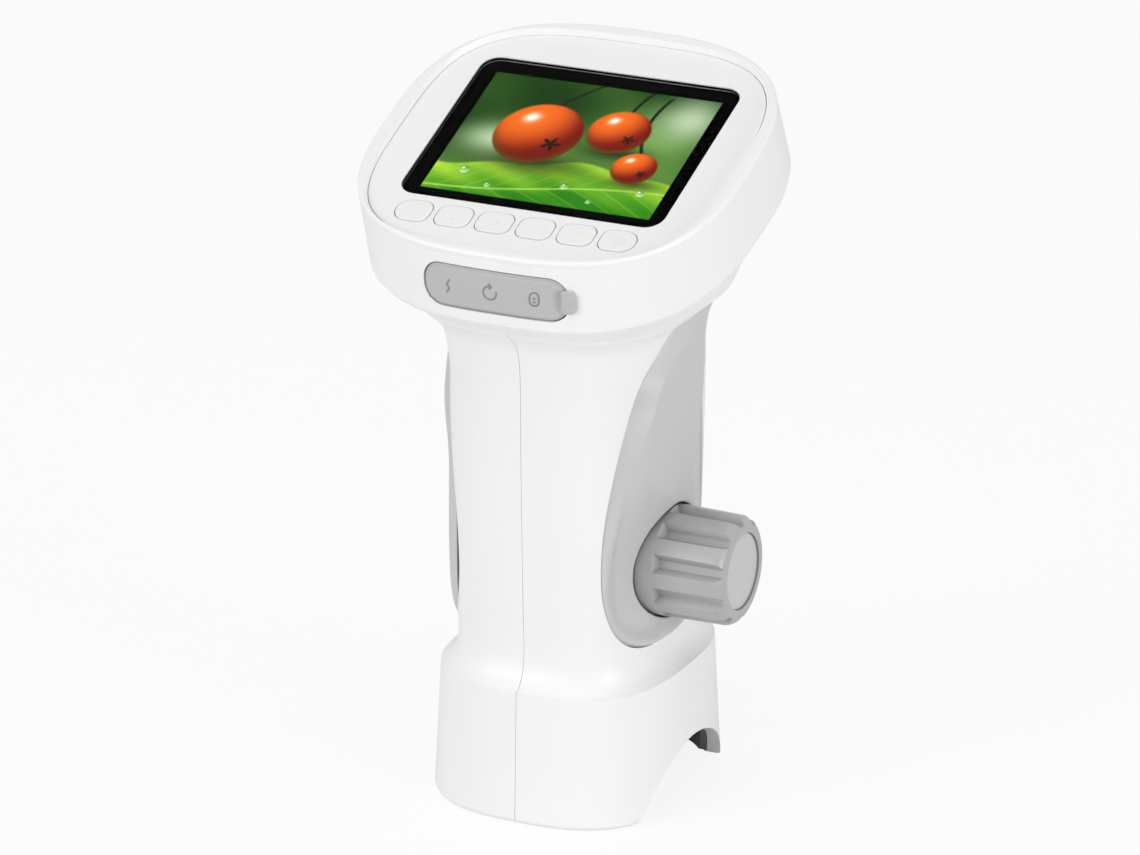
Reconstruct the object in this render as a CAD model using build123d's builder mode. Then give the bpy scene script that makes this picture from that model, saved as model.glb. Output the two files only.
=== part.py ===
from build123d import *

import os
from math import cos, hypot, pi, radians, sin, tan

os.makedirs("parts", exist_ok=True)

# Handheld microscope with a tilted screen head, millimetres. The origin is the centre of the foot on
# the table, +Z is up, the front is -Y and the focus knob is on +X. The optical axis is the Z axis.

# --- driving dimensions ---------------------------------------------------------------------------
wall = 2.0                      # moulded shell wall
gap = 0.1                       # clearance between pieces that don't move
run_gap = 0.05                  # radial clearance of a turning or sliding fit
flap_gap = 0.25                 # clearance round the port flap
key_gap = 0.15                  # clearance round a key

# foot and waist, as half widths along X and half depths along Y
foot_bottom_half = (21.9, 24.3)
foot_rim_half = (20.2, 23.6)
foot_rim_height = 23.1
foot_power = 2.7
foot_edge_round = 1.2
waist_half = (16.6, 20.65)
waist_power = 3.5
waist_start_height = 29.6
waist_end_height = 76.0
waist_growth = 1.05             # how much deeper and wider the waist is at its top
waist_stations = 9
neck_half = (22.6, 26.2)
neck_power = 3.0
neck_height = 86.0
cavity_half = (13.2, 18.9)      # tube through the waist that holds the optics
arch_radius = 17.8
arch_top_height = 10.6
arch_corner_radius = 2.6

# head
head_tilt = 22.5
face_origin = (0.0, -3.0, 111.9)
rim_half = (32.6, 29.9)
rim_shift = -1.2                # rim centre below the screen centre, along the face
rim_power = 2.8
lip_height = 1.0                # the rim stands this far above the face plate
lip_round = 0.6
lip_slope = 0.5
lower_rim_half = (32.1, 33.0)
lower_rim_centre = (0.85, 99.1)
lower_rim_tilt = 19.3
lower_rim_power = 2.76
lower_edge_chamfer = 0.7
head_wall = 2.4
plate_half = (29.8, 27.4)
plate_shift = -1.5
plate_power = 3.45
plate_thickness = 1.8
plate_ledge = 1.0
spigot_height = 6.0
spigot_wall = 1.8

# screen
active_size = (40.8, 30.6)
lens_border = (2.85, 2.7)
lens_corner_radius = 3.0
lens_thickness = 0.8
mask_thickness = 0.2
lcd_border = 1.8
lcd_thickness = 2.4
tray_wall = 0.4

# keys
key_size = (6.05, 4.9)
key_pitch = 7.25
key_row_shift = -22.15
key_corner_radius = 1.7
key_end_radius = 2.35
key_thickness = 1.9
key_crown = 0.15                # how far a key stands above the face plate
key_flange = 0.5
key_travel = 0.4
key_board_thickness = 1.0
key_board_rows = 5.0
key_board_width = 41.6
switch_size = (4.4, 3.8)
switch_height = 0.9

# ports on the front of the head
flap_size = (25.3, 7.2)
flap_centre_height = 94.5
flap_corner_radius = 3.2
flap_proud = 0.3
flap_depth = 1.0
flap_step = 0.4
flap_recess_depth = 1.35
tab_size = (3.4, 3.5)
tab_thickness = 0.7
usb_size = (8.9, 3.2, 7.0)
usb_x = -7.3
card_size = (12.0, 1.7, 13.0)
card_x = 5.6
reset_x = -1.6
reset_size = 2.0
reset_pin_radius = 0.55
reset_travel = 0.25

# boards and battery in the head, heights below the face
board_thickness = 1.4
main_board_depth = 8.2
main_board_half = (27.0, 24.5)
main_board_shift = -3.2
battery_size = (36.0, 27.0, 5.0)
battery_gap = 0.3
battery_shift = 0.0
post_spots = [(24.6, 8.0), (-24.6, 8.0), (24.6, -11.0), (-24.6, -11.0)]
post_radius = 1.7
chip_sizes = [(9.0, 9.0, 0.9, 4.0, 2.0), (7.0, 5.0, 1.0, -9.0, 4.0), (4.0, 4.0, 0.8, 12.0, -8.0)]

# side panels
panel_face_x = 17.7
panel_flare_height = 55.0
panel_flare_radius = 128.0
panel_pocket_depth = 1.9
panel_gap = 0.12
scoop_radius = 30.0             # a shallow dish in the right panel, on the front side of the knob
scoop_depth = 4.1
scoop_spot = (-18.0, -1.0)      # its deepest point, (y, z above the knob's axis)
scoop_thickness = 0.8

# focus drive
knob_height = 41.2
knob_base_radius = 9.4
knob_tip_radius = 9.15
knob_start_x = 16.4
knob_seat_depth = 0.35          # the knob's seat lies this far below the panel's pocket
knob_end_x = 29.9
knob_round = 1.9
rib_count = 10
rib_turn = 92.5                 # where the first slot lies at rest, degrees from +Y towards +Z
rib_slot_depth = 1.15
rib_slot_width = 3.1
rib_slot_floor = 1.3
rib_slot_start_x = 17.6
rib_slot_end_slope = 0.6
cap_radius = 6.35
cap_thickness = 1.2
cap_recess = 0.35
shaft_radius = 2.0
bush_radius = 3.6
bush_flange_radius = 5.2
bush_flange_thickness = 0.6
pinion_teeth = 10
tooth_module = 0.8
pinion_width = 3.2
pinion_x = 9.0
tooth_half = 0.42               # half a pinion tooth at the pitch circle
rack_tooth_half = 0.40
rack_back = 7.2
focus_travel = 6.0

# optics
barrel_radius = 6.9
barrel_bore_radius = 5.2
barrel_low = 20.0
barrel_high = 41.0
lens_radius = 5.1
lens_edge = 1.2
lens_sag = 0.8
carriage_radius = 8.4
carriage_low = 33.0
carriage_high = 53.0
rod_radius = 1.3
rod_bush_radius = 2.2
rod_spots = [(0.0, 15.4), (-10.6, 0.0)]
lower_plate_height = 24.4
upper_plate_height = 60.4
chassis_plate = 2.0
chassis_column = (2.6, 3.0)
chassis_column_spot = (9.9, 11.4)
baffle_low = 48.0
baffle_wall = 0.8
baffle_radius = 6.1
sensor_board_size = 18.0
sensor_board_thickness = 1.2
sensor_size = (6.4, 5.4, 1.1)
sensor_opening = (8.0, 7.0)

# light unit in the foot
shroud_wall = 1.0
shroud_low = 0.8
light_hole_radius = 8.0
light_ring_wall = 0.6
light_ring_outer = 16.2
led_board_thickness = 1.2
led_count = 8
led_ring_radius = 12.4
led_size = (3.0, 2.8, 1.4)
diffuser_height = 14.9
diffuser_thickness = 1.0

screw_radius = 1.0
screw_head_radius = 1.9
screw_head_height = 1.2
boss_radius = 3.0

# --- shared geometry ------------------------------------------------------------------------------
face_plane = Plane(face_origin, x_dir=(1, 0, 0), z_dir=(0, -sin(radians(head_tilt)), cos(radians(head_tilt))))
lower_rim_plane = Plane(
    (0, *lower_rim_centre), x_dir=(1, 0, 0),
    z_dir=(0, -sin(radians(lower_rim_tilt)), cos(radians(lower_rim_tilt))),
)
knob_plane = Plane((0, 0, knob_height), x_dir=(0, 1, 0), z_dir=(1, 0, 0))
pinion_pitch_radius = pinion_teeth * tooth_module / 2
lens_size = (active_size[0] + 2 * lens_border[0], active_size[1] + 2 * lens_border[1])
key_centres = [(i - 2.5) * key_pitch for i in range(6)]
arch_centre_height = arch_top_height - arch_radius


def squircle(plane, half, power, shift=0.0, grow=0.0):
    """A closed superellipse face on a plane: |x/a|^n + |y/b|^n = 1, shifted along the plane's y."""
    a, b = half[0] + grow, half[1] + grow
    count = 44
    start = radians(97)
    points = []
    for i in range(count):
        angle = start + 2 * pi * i / count
        radius = (abs(cos(angle) / a) ** power + abs(sin(angle) / b) ** power) ** (-1 / power)
        points.append((radius * cos(angle), shift + radius * sin(angle)))
    with BuildSketch(plane) as outline:
        with BuildLine():
            Spline(points, periodic=True)
        make_face()
    return outline.sketch


def at_height(height):
    return Plane.XY.offset(height)


def face_at(height):
    return face_plane.offset(height)


def blend(first, last, share):
    return tuple(a + (b - a) * share for a, b in zip(first, last))


def body_outer(grow):
    """Waist and neck: the cove above the foot rim, a nearly straight waist and the flare to the head."""
    waist_top = (waist_half[0] + waist_growth, waist_half[1] + waist_growth)
    cove = waist_start_height - foot_rim_height
    rise = waist_end_height - waist_start_height
    flare = neck_height - waist_end_height
    stations = [
        (foot_rim_height, foot_rim_half, foot_power + 0.2),
        (foot_rim_height + 0.16 * cove, blend(foot_rim_half, waist_half, 0.48), foot_power + 0.4),
        (foot_rim_height + 0.45 * cove, blend(foot_rim_half, waist_half, 0.84), foot_power + 0.6),
    ]
    for i in range(waist_stations):
        share = i / (waist_stations - 1)
        bulge = share + 0.8 * share * (1 - share)
        stations.append((waist_start_height + rise * share, blend(waist_half, waist_top, bulge), waist_power))
    stations += [
        (waist_end_height + 0.25 * flare, blend(waist_top, neck_half, 0.05), waist_power),
        (waist_end_height + 0.5 * flare, blend(waist_top, neck_half, 0.15), waist_power - 0.1),
        (waist_end_height + 0.75 * flare, blend(waist_top, neck_half, 0.43), waist_power - 0.3),
        (neck_height, neck_half, neck_power),
    ]
    with BuildPart() as solid:
        loft([squircle(at_height(z), half, power, grow=grow) for z, half, power in stations])
    return solid.part


def foot_outer(grow, low):
    with BuildPart() as solid:
        loft([
            squircle(at_height(low), foot_bottom_half, foot_power, grow=grow),
            squircle(at_height(foot_rim_height), foot_rim_half, foot_power + 0.2, grow=grow),
        ], ruled=True)
    return solid.part


def head_wall_solid(grow):
    """The head's side wall, ruled between its lower rim and the rim round the face."""
    with BuildPart() as solid:
        loft([
            squircle(lower_rim_plane, lower_rim_half, lower_rim_power, grow=grow),
            squircle(face_plane, rim_half, rim_power, rim_shift, grow),
        ], ruled=True)
    return solid.part


def leaf(points, x, grow=0.0):
    """A leaf-shaped face on a plane of constant X from (y, z) points, each moved out by grow."""
    moved = []
    count = len(points)
    for i, (y, z) in enumerate(points):
        before, after = points[i - 1], points[(i + 1) % count]
        run = (after[0] - before[0], after[1] - before[1])
        length = hypot(*run)
        moved.append((y + grow * run[1] / length, z - grow * run[0] / length))
    with BuildSketch(Plane((x, 0, 0), x_dir=(0, 1, 0), z_dir=(1, 0, 0))) as outline:
        with BuildLine():
            Spline(moved, periodic=True)
        make_face()
    return outline.sketch


# outlines of a side panel on the body and of its flat face, (y, z), anticlockwise from the bottom
panel_edge = [
    (-4, 28.4), (3, 28.5), (9, 30.2), (12.6, 35), (13.6, 42), (13.3, 52), (12.3, 62), (10.9, 71),
    (9.2, 79), (6.0, 83.2), (1.0, 82.9), (-5.5, 80.6), (-10.4, 77.3), (-13.3, 73.6), (-15.6, 68),
    (-17.3, 60.5), (-18.3, 52), (-18.4, 44), (-17.6, 37), (-15.3, 32), (-10.5, 29.2),
]
panel_face = [
    (11, 50), (10.5, 60), (9.8, 68), (8.6, 76), (5.8, 81.4), (1.6, 81.8), (-4.5, 79.9),
    (-9.2, 76.6), (-11.4, 72), (-12.8, 66), (-13.6, 58), (-13.9, 50), (-13.9, 43), (-13.4, 37.5),
    (-11.6, 33), (-8.4, 30.1), (-4, 29), (3, 29.1), (8, 31), (10.6, 35.6), (11.2, 42),
]
boss_spots = [(-14.4, 36.0), (-13.2, 67.0), (2.5, 73.5)]   # (y, z), all under the side panels

foot_ceiling = foot_rim_height - 1.7
seam_half_gap = 0.04
pieces = {}

# --- body: foot, waist and neck, made whole and then split at X = 0 --------------------------------
with BuildSketch(Plane.YZ) as arch_profile:
    with Locations((0, neck_height / 2)):
        Rectangle(4 * waist_half[1], neck_height)
    with Locations((0, arch_centre_height)):
        Circle(arch_radius, mode=Mode.SUBTRACT)
    arch_feet = arch_profile.vertices().group_by(Axis.Y)[0].filter_by(lambda v: abs(v.X) < arch_radius)
    fillet(arch_feet, arch_corner_radius)

with BuildPart() as foot_hollow:
    add(foot_outer(-wall, 0))
    split(bisect_by=at_height(foot_ceiling), keep=Keep.BOTTOM)

with BuildPart() as bosses:
    with Locations(*[Plane((0, y, z), z_dir=(1, 0, 0)) for y, z in boss_spots]):
        Cylinder(boss_radius, 2 * waist_half[0])
    add(body_outer(-panel_pocket_depth), mode=Mode.INTERSECT)

with BuildPart() as panel_pocket:
    extrude(leaf(panel_edge, waist_half[0] / 2, panel_gap), amount=waist_half[0], dir=(1, 0, 0))
    add(body_outer(-panel_pocket_depth), mode=Mode.SUBTRACT)

with BuildPart() as case:
    add(foot_outer(0, 0))
    fillet(case.edges().group_by(Axis.Z)[0], foot_edge_round)
    add(body_outer(0))
    cavity_low = foot_ceiling - wall
    extrude(squircle(at_height(cavity_low), cavity_half, waist_power),
            amount=neck_height, dir=(0, 0, 1), mode=Mode.SUBTRACT)
    add(foot_hollow.part, mode=Mode.SUBTRACT)
    extrude(arch_profile.sketch, amount=2 * waist_half[0], both=True, mode=Mode.INTERSECT)
    add(bosses.part)
    add(panel_pocket.part, mode=Mode.SUBTRACT)
    add(mirror(panel_pocket.part, about=Plane.YZ, mode=Mode.PRIVATE), mode=Mode.SUBTRACT)

scoop_centre = (panel_face_x - scoop_depth + scoop_radius, scoop_spot[0], knob_height + scoop_spot[1])
with BuildPart() as scoop_pocket:
    extrude(leaf(panel_edge, waist_half[0] / 2, panel_gap), amount=waist_half[0], dir=(1, 0, 0))
    with Locations(scoop_centre):
        Sphere(scoop_radius + scoop_thickness, mode=Mode.INTERSECT)

screw_length = 18.0
screw_seat_x = -10.0            # the head's seat in the left shell
with BuildPart() as body_shell_left:
    add(case.part)
    split(bisect_by=Plane.YZ.offset(-seam_half_gap), keep=Keep.BOTTOM)
    with Locations(*[Plane((screw_seat_x, y, z), z_dir=(-1, 0, 0)) for y, z in boss_spots]):
        Cylinder(screw_head_radius + gap, waist_half[0], align=(Align.CENTER, Align.CENTER, Align.MIN),
                 mode=Mode.SUBTRACT)
        Cylinder(screw_radius + gap, 2 * waist_half[0], mode=Mode.SUBTRACT)
pieces["body_shell_left"] = body_shell_left

bush_inner_x = cavity_half[0] - gap
bush_outer_x = waist_half[0] - panel_pocket_depth - knob_seat_depth     # flat seat under the knob
knob_hole_radius = knob_base_radius + 3 * gap
with BuildPart() as body_shell_right:
    add(case.part)
    split(bisect_by=Plane.YZ.offset(seam_half_gap), keep=Keep.TOP)
    with Locations(*[Plane((screw_seat_x, y, z), z_dir=(1, 0, 0)) for y, z in boss_spots]):
        Cylinder(screw_radius, screw_length + wall, align=(Align.CENTER, Align.CENTER, Align.MIN),
                 mode=Mode.SUBTRACT)
    with Locations(knob_plane):
        Cylinder(bush_radius, 3 * waist_half[0], mode=Mode.SUBTRACT)
    with Locations(knob_plane.offset(bush_outer_x)):
        Cylinder(knob_hole_radius, waist_half[0], mode=Mode.SUBTRACT,
                 align=(Align.CENTER, Align.CENTER, Align.MIN))
    add(scoop_pocket.part, mode=Mode.SUBTRACT)
pieces["body_shell_right"] = body_shell_right

with BuildPart() as case_screws:
    with Locations(*[Plane((screw_seat_x, y, z), z_dir=(1, 0, 0)) for y, z in boss_spots]):
        Cylinder(screw_radius, screw_length, align=(Align.CENTER, Align.CENTER, Align.MIN))
        Cylinder(screw_head_radius, screw_head_height, align=(Align.CENTER, Align.CENTER, Align.MAX))
pieces["case_screws"] = case_screws

# --- side panels: a leaf with a flat face and a sloping flank, in a pocket of the body --------------
with BuildSketch(Plane.XZ) as panel_reach:
    flare_start = (panel_face_x, panel_flare_height)
    flare_rise = neck_height - panel_flare_height
    flare_end = (panel_face_x + flare_rise ** 2 / (2 * panel_flare_radius), neck_height)
    with BuildLine():
        Line((0, 0), (panel_face_x, 0))
        Line((panel_face_x, 0), flare_start)
        TangentArc(flare_start, flare_end, tangent=(0, 1))
        Polyline(flare_end, (0, neck_height), (0, 0))
    make_face()

flank_low, flank_high = 5.2, 2.9    # run of the 45 degree flank below and above the flat face's plane
with BuildPart() as panel_blank:
    extrude(leaf(panel_edge, waist_half[0] / 2), amount=waist_half[0], dir=(1, 0, 0))
    loft([
        leaf(panel_face, panel_face_x - flank_low, flank_low),
        leaf(panel_face, panel_face_x + flank_high, -flank_high),
    ], ruled=True, mode=Mode.INTERSECT)
    extrude(panel_reach.sketch, amount=2 * waist_half[1], both=True, mode=Mode.INTERSECT)

with BuildPart() as scooped_floor:
    add(body_outer(gap - panel_pocket_depth))
    with Locations(scoop_centre):
        Sphere(scoop_radius + scoop_thickness - gap, mode=Mode.SUBTRACT)

with BuildPart() as side_panel_right:
    add(panel_blank.part)
    add(scooped_floor.part, mode=Mode.SUBTRACT)
    with Locations(scoop_centre):
        Sphere(scoop_radius, mode=Mode.SUBTRACT)
    with Locations(knob_plane):
        Cylinder(knob_hole_radius, 3 * waist_half[0], mode=Mode.SUBTRACT)
pieces["side_panel_right"] = side_panel_right

with BuildPart() as flat_panel:
    add(panel_blank.part)
    add(body_outer(gap - panel_pocket_depth), mode=Mode.SUBTRACT)
with BuildPart() as side_panel_left:
    add(mirror(flat_panel.part, about=Plane.YZ, mode=Mode.PRIVATE))
pieces["side_panel_left"] = side_panel_left

# --- head shell ------------------------------------------------------------------------------------
front_high = face_plane.from_local_coords(Vector(0, rim_shift - rim_half[1], 0))
front_low = lower_rim_plane.from_local_coords(Vector(0, -lower_rim_half[1], 0))
front_up = (front_high - front_low).normalized()
flap_share = (flap_centre_height - front_low.Z) / (front_high.Z - front_low.Z)
flap_plane = Plane(front_low + (front_high - front_low) * flap_share, x_dir=(1, 0, 0),
                   z_dir=Vector(1, 0, 0).cross(front_up))
flap_reach = 4.0                # how far each side of the wall a flap outline is extruded


def flap_prism(width, height, radius, shift=0.0):
    """A block through the front wall, with a rounded outline seen square on."""
    with BuildPart() as solid:
        with BuildSketch(flap_plane.offset(-flap_reach)):
            with Locations((shift, 0)):
                RectangleRounded(width, height, radius)
        extrude(amount=2 * flap_reach)
    return solid.part


with BuildPart() as port_recess:
    add(flap_prism(flap_size[0] + 2 * flap_gap, flap_size[1] + 2 * flap_gap, flap_corner_radius + flap_gap))
    add(head_wall_solid(-flap_recess_depth), mode=Mode.SUBTRACT)

usb_height = usb_size[1] / 2 - main_board_depth
card_height = card_size[1] / 2 - main_board_depth
reset_height = reset_size / 2 - main_board_depth
port_front = -30.3              # front faces of the sockets, along the face plane

middle_half = blend(neck_half, lower_rim_half, 0.36)
middle_tilt = radians(0.42 * lower_rim_tilt)
middle_plane = Plane(
    (0, 0.4 * lower_rim_centre[0], neck_height + 0.42 * (lower_rim_centre[1] - neck_height)),
    x_dir=(1, 0, 0), z_dir=(0, -sin(middle_tilt), cos(middle_tilt)),
)
with BuildPart() as head_shell:
    loft([
        squircle(at_height(neck_height), neck_half, neck_power),
        squircle(middle_plane, middle_half, (neck_power + lower_rim_power) / 2),
        squircle(lower_rim_plane, lower_rim_half, lower_rim_power),
    ])
    add(head_wall_solid(0))
    rim_edge = head_shell.edges().filter_by(lambda e: abs(lower_rim_plane.to_local_coords(e.center()).Z) < gap)
    chamfer(rim_edge, lower_edge_chamfer)
    extrude(squircle(face_plane, rim_half, rim_power, rim_shift), amount=lip_height, dir=face_plane.z_dir)
    fillet(head_shell.faces().sort_by(Axis(face_origin, face_plane.z_dir))[-1].edges(), lip_round)
    # inside: a floor above the neck, side walls and the ledge that carries the face plate
    loft([
        squircle(at_height(neck_height + head_wall), neck_half, neck_power, grow=-head_wall - 1),
        squircle(lower_rim_plane.offset(head_wall / 2), lower_rim_half, lower_rim_power, grow=-head_wall),
        squircle(face_at(-plate_thickness), plate_half, plate_power, plate_shift, -plate_ledge),
    ], ruled=True, mode=Mode.SUBTRACT)
    extrude(squircle(face_at(-plate_thickness), plate_half, plate_power, plate_shift, gap),
            amount=plate_thickness + lip_height, dir=face_plane.z_dir, mode=Mode.SUBTRACT)
    loft([
        squircle(face_plane, plate_half, plate_power, plate_shift, gap),
        squircle(face_at(lip_height), plate_half, plate_power, plate_shift, gap + lip_slope),
    ], ruled=True, mode=Mode.SUBTRACT)
    # spigot that the two body shells close round
    extrude(squircle(at_height(neck_height - spigot_height), cavity_half, waist_power, grow=-gap),
            amount=spigot_height + head_wall / 2, dir=(0, 0, 1))
    extrude(squircle(at_height(neck_height - spigot_height), cavity_half, waist_power,
                     grow=-gap - spigot_wall),
            amount=spigot_height + 2 * head_wall, dir=(0, 0, 1), mode=Mode.SUBTRACT)
    # ports
    add(port_recess.part, mode=Mode.SUBTRACT)
    with Locations(face_plane * Location((usb_x, port_front, usb_height))):
        Box(usb_size[0] + 4 * gap, 3 * head_wall, usb_size[1] + 4 * gap, mode=Mode.SUBTRACT)
    with Locations(face_plane * Location((card_x, port_front, card_height))):
        Box(card_size[0] + 4 * gap, 3 * head_wall, card_size[1] + 4 * gap, mode=Mode.SUBTRACT)
    with Locations(face_plane * Location((reset_x, port_front, reset_height), (90, 0, 0))):
        Cylinder(reset_pin_radius + 2 * gap, 3 * head_wall, mode=Mode.SUBTRACT)
pieces["head_shell"] = head_shell

# --- port flap: two stepped layers that follow the wall, and a finger tab ---------------------------
with BuildPart() as flap_base:
    add(flap_prism(*flap_size, flap_corner_radius))
    add(head_wall_solid(flap_proud - flap_step), mode=Mode.INTERSECT)
    add(head_wall_solid(-flap_depth), mode=Mode.SUBTRACT)
with BuildPart() as flap_top:
    add(flap_prism(flap_size[0] - 2 * flap_step, flap_size[1] - 2 * flap_step, flap_corner_radius - flap_step))
    add(head_wall_solid(flap_proud), mode=Mode.INTERSECT)
    add(head_wall_solid(-flap_step), mode=Mode.SUBTRACT)
with BuildPart() as flap_tab:
    add(flap_prism(*tab_size, tab_size[0] / 2 - gap, flap_size[0] / 2))
    add(head_wall_solid(flap_proud / 2 + tab_thickness), mode=Mode.INTERSECT)
    add(head_wall_solid(flap_proud / 2), mode=Mode.SUBTRACT)
with BuildPart() as port_cover:
    add(flap_base.part)
    add(flap_top.part)
    add(flap_tab.part)
pieces["port_cover"] = port_cover


# --- face plate and keys -----------------------------------------------------------------------------
def key_outline(index, grow):
    """One key seen square on, in face coordinates; the outer ends of the row are rounder."""
    with BuildSketch() as outline:
        with Locations((key_centres[index], key_row_shift)):
            Rectangle(key_size[0], key_size[1])
        fillet(outline.vertices().group_by(Axis.X)[0], key_end_radius if index == 0 else key_corner_radius)
        fillet(outline.vertices().group_by(Axis.X)[-1],
               key_end_radius if index == len(key_centres) - 1 else key_corner_radius)
        if grow:
            offset(amount=grow)
    return face_plane * outline.sketch


lcd_size = (active_size[0] + 2 * lcd_border, active_size[1] + 2 * lcd_border)
window_depth = lens_thickness + mask_thickness
with BuildPart(face_plane) as face_plate:
    extrude(squircle(face_at(-plate_thickness), plate_half, plate_power, plate_shift),
            amount=plate_thickness, dir=face_plane.z_dir)
    with BuildSketch(face_at(-window_depth)):
        RectangleRounded(lens_size[0] + 2 * gap, lens_size[1] + 2 * gap, lens_corner_radius + gap)
    extrude(amount=window_depth, mode=Mode.SUBTRACT)
    with BuildSketch(face_at(-plate_thickness)):
        Rectangle(lcd_size[0] + 2 * gap, lcd_size[1] + 2 * gap)
    extrude(amount=plate_thickness, mode=Mode.SUBTRACT)
    for index in range(len(key_centres)):
        extrude(key_outline(index, key_gap), amount=plate_thickness, dir=-face_plane.z_dir,
                mode=Mode.SUBTRACT)
    for x, y in post_spots:
        with Locations((x, y, -plate_thickness)):
            Cylinder(post_radius, main_board_depth - plate_thickness,
                     align=(Align.CENTER, Align.CENTER, Align.MAX))
        with Locations((x, y, -main_board_depth)):
            Cylinder(screw_radius, 5 * screw_radius, mode=Mode.SUBTRACT,
                     align=(Align.CENTER, Align.CENTER, Align.MIN))
pieces["face_plate"] = face_plate

key_names = ["power_key", "menu_key", "up_key", "down_key", "playback_key", "capture_key"]
flange_high = -plate_thickness - gap
for index, name in enumerate(key_names):
    with BuildPart() as key:
        extrude(face_plane.location * Location((0, 0, key_crown)) * face_plane.location.inverse()
                * key_outline(index, 0), amount=key_thickness + key_crown + gap, dir=-face_plane.z_dir)
        fillet(key.faces().sort_by(Axis(face_origin, face_plane.z_dir))[-1].edges(), key_crown)
        extrude(face_plane.location * Location((0, 0, flange_high)) * face_plane.location.inverse()
                * key_outline(index, key_flange), amount=key_flange, dir=-face_plane.z_dir)
    pieces[name] = key

switch_top = flange_high - key_flange - key_travel - gap
key_board_top = switch_top - switch_height
with BuildPart(face_plane) as key_switches:
    for x in key_centres:
        with Locations((x, key_row_shift, key_board_top)):
            Box(*switch_size, switch_height, align=(Align.CENTER, Align.CENTER, Align.MIN))
pieces["key_switches"] = key_switches

with BuildPart(face_plane) as key_board:
    with Locations((0, key_row_shift, key_board_top)):
        Box(key_board_width, key_board_rows, key_board_thickness,
            align=(Align.CENTER, Align.CENTER, Align.MAX))
pieces["key_board"] = key_board

# --- screen ------------------------------------------------------------------------------------------
with BuildPart() as screen_lens:
    with BuildSketch(face_at(-lens_thickness)):
        RectangleRounded(*lens_size, lens_corner_radius)
    extrude(amount=lens_thickness)
pieces["screen_lens"] = screen_lens

with BuildPart() as screen_mask:
    with BuildSketch(face_at(-window_depth)):
        RectangleRounded(*lens_size, lens_corner_radius)
        Rectangle(*active_size, mode=Mode.SUBTRACT)
    extrude(amount=mask_thickness)
pieces["screen_mask"] = screen_mask

with BuildPart() as lcd_display:
    with BuildSketch(face_at(-window_depth)):
        Rectangle(*lcd_size)
    extrude(amount=-lcd_thickness)
pieces["lcd_display"] = lcd_display

tray_top = -plate_thickness - gap
tray_floor = -window_depth - lcd_thickness - gap
with BuildPart() as lcd_tray:
    with BuildSketch(face_at(tray_floor - tray_wall)):
        Rectangle(lcd_size[0] + 2 * tray_wall + 2 * gap, lcd_size[1] + 2 * tray_wall + 2 * gap)
    extrude(amount=tray_top - tray_floor + tray_wall)
    with BuildSketch(face_at(tray_floor)):
        Rectangle(lcd_size[0] + 2 * gap, lcd_size[1] + 2 * gap)
    extrude(amount=lcd_thickness, mode=Mode.SUBTRACT)
pieces["lcd_tray"] = lcd_tray

# --- main board, sockets and battery -------------------------------------------------------------------
with BuildPart(face_plane) as main_board:
    extrude(squircle(face_at(-main_board_depth), main_board_half, waist_power, main_board_shift),
            amount=board_thickness, dir=-face_plane.z_dir)
    for x, y in post_spots:
        with Locations((x, y, -main_board_depth)):
            Cylinder(screw_radius + gap, 3 * board_thickness, mode=Mode.SUBTRACT)
pieces["main_board"] = main_board

with BuildPart(face_plane) as board_screws:
    for x, y in post_spots:
        with Locations((x, y, -main_board_depth - board_thickness)):
            Cylinder(screw_radius, board_thickness + 4 * screw_radius,
                     align=(Align.CENTER, Align.CENTER, Align.MIN))
            Cylinder(screw_head_radius, screw_head_height, align=(Align.CENTER, Align.CENTER, Align.MAX))
pieces["board_screws"] = board_screws

with BuildPart(face_plane) as board_chips:
    for width, depth, thickness, x, y in chip_sizes:
        with Locations((x, y, -main_board_depth)):
            Box(width, depth, thickness, align=(Align.CENTER, Align.CENTER, Align.MIN))
pieces["board_chips"] = board_chips

socket_wall = 0.4
with BuildPart(face_plane) as usb_socket:
    with Locations((usb_x, port_front, usb_height)):
        Box(usb_size[0], usb_size[2], usb_size[1], align=(Align.CENTER, Align.MIN, Align.CENTER))
        Box(usb_size[0] - 2 * socket_wall, 2 * (usb_size[2] - 1), usb_size[1] - 2 * socket_wall,
            mode=Mode.SUBTRACT)
        Box(usb_size[0] / 2, usb_size[2] - 1, 2 * socket_wall, align=(Align.CENTER, Align.MIN, Align.CENTER))
pieces["usb_socket"] = usb_socket

with BuildPart(face_plane) as card_socket:
    with Locations((card_x, port_front, card_height)):
        Box(card_size[0], card_size[2], card_size[1], align=(Align.CENTER, Align.MIN, Align.CENTER))
        Box(card_size[0] - 2 * socket_wall, 2 * (card_size[2] - 1), card_size[1] - 2 * socket_wall,
            mode=Mode.SUBTRACT)
pieces["card_socket"] = card_socket

reset_front = port_front + 1.3
reset_pin_reach = 2.0           # how far the pin stands out of its switch
reset_pin_seat = 0.6
with BuildPart(face_plane) as reset_switch:
    with Locations((reset_x, reset_front, reset_height)):
        Box(reset_size, reset_size, reset_size, align=(Align.CENTER, Align.MIN, Align.CENTER))
    with Locations(Location((reset_x, reset_front, reset_height), (90, 0, 0))):
        Cylinder(reset_pin_radius + run_gap, 2 * (reset_pin_seat + reset_travel + gap), mode=Mode.SUBTRACT)
pieces["reset_switch"] = reset_switch

with BuildPart(face_plane) as reset_pin:
    with Locations(Location((reset_x, reset_front + reset_pin_seat, reset_height), (90, 0, 0))):
        Cylinder(reset_pin_radius, reset_pin_seat + reset_pin_reach,
                 align=(Align.CENTER, Align.CENTER, Align.MIN))
pieces["reset_pin"] = reset_pin

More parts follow.
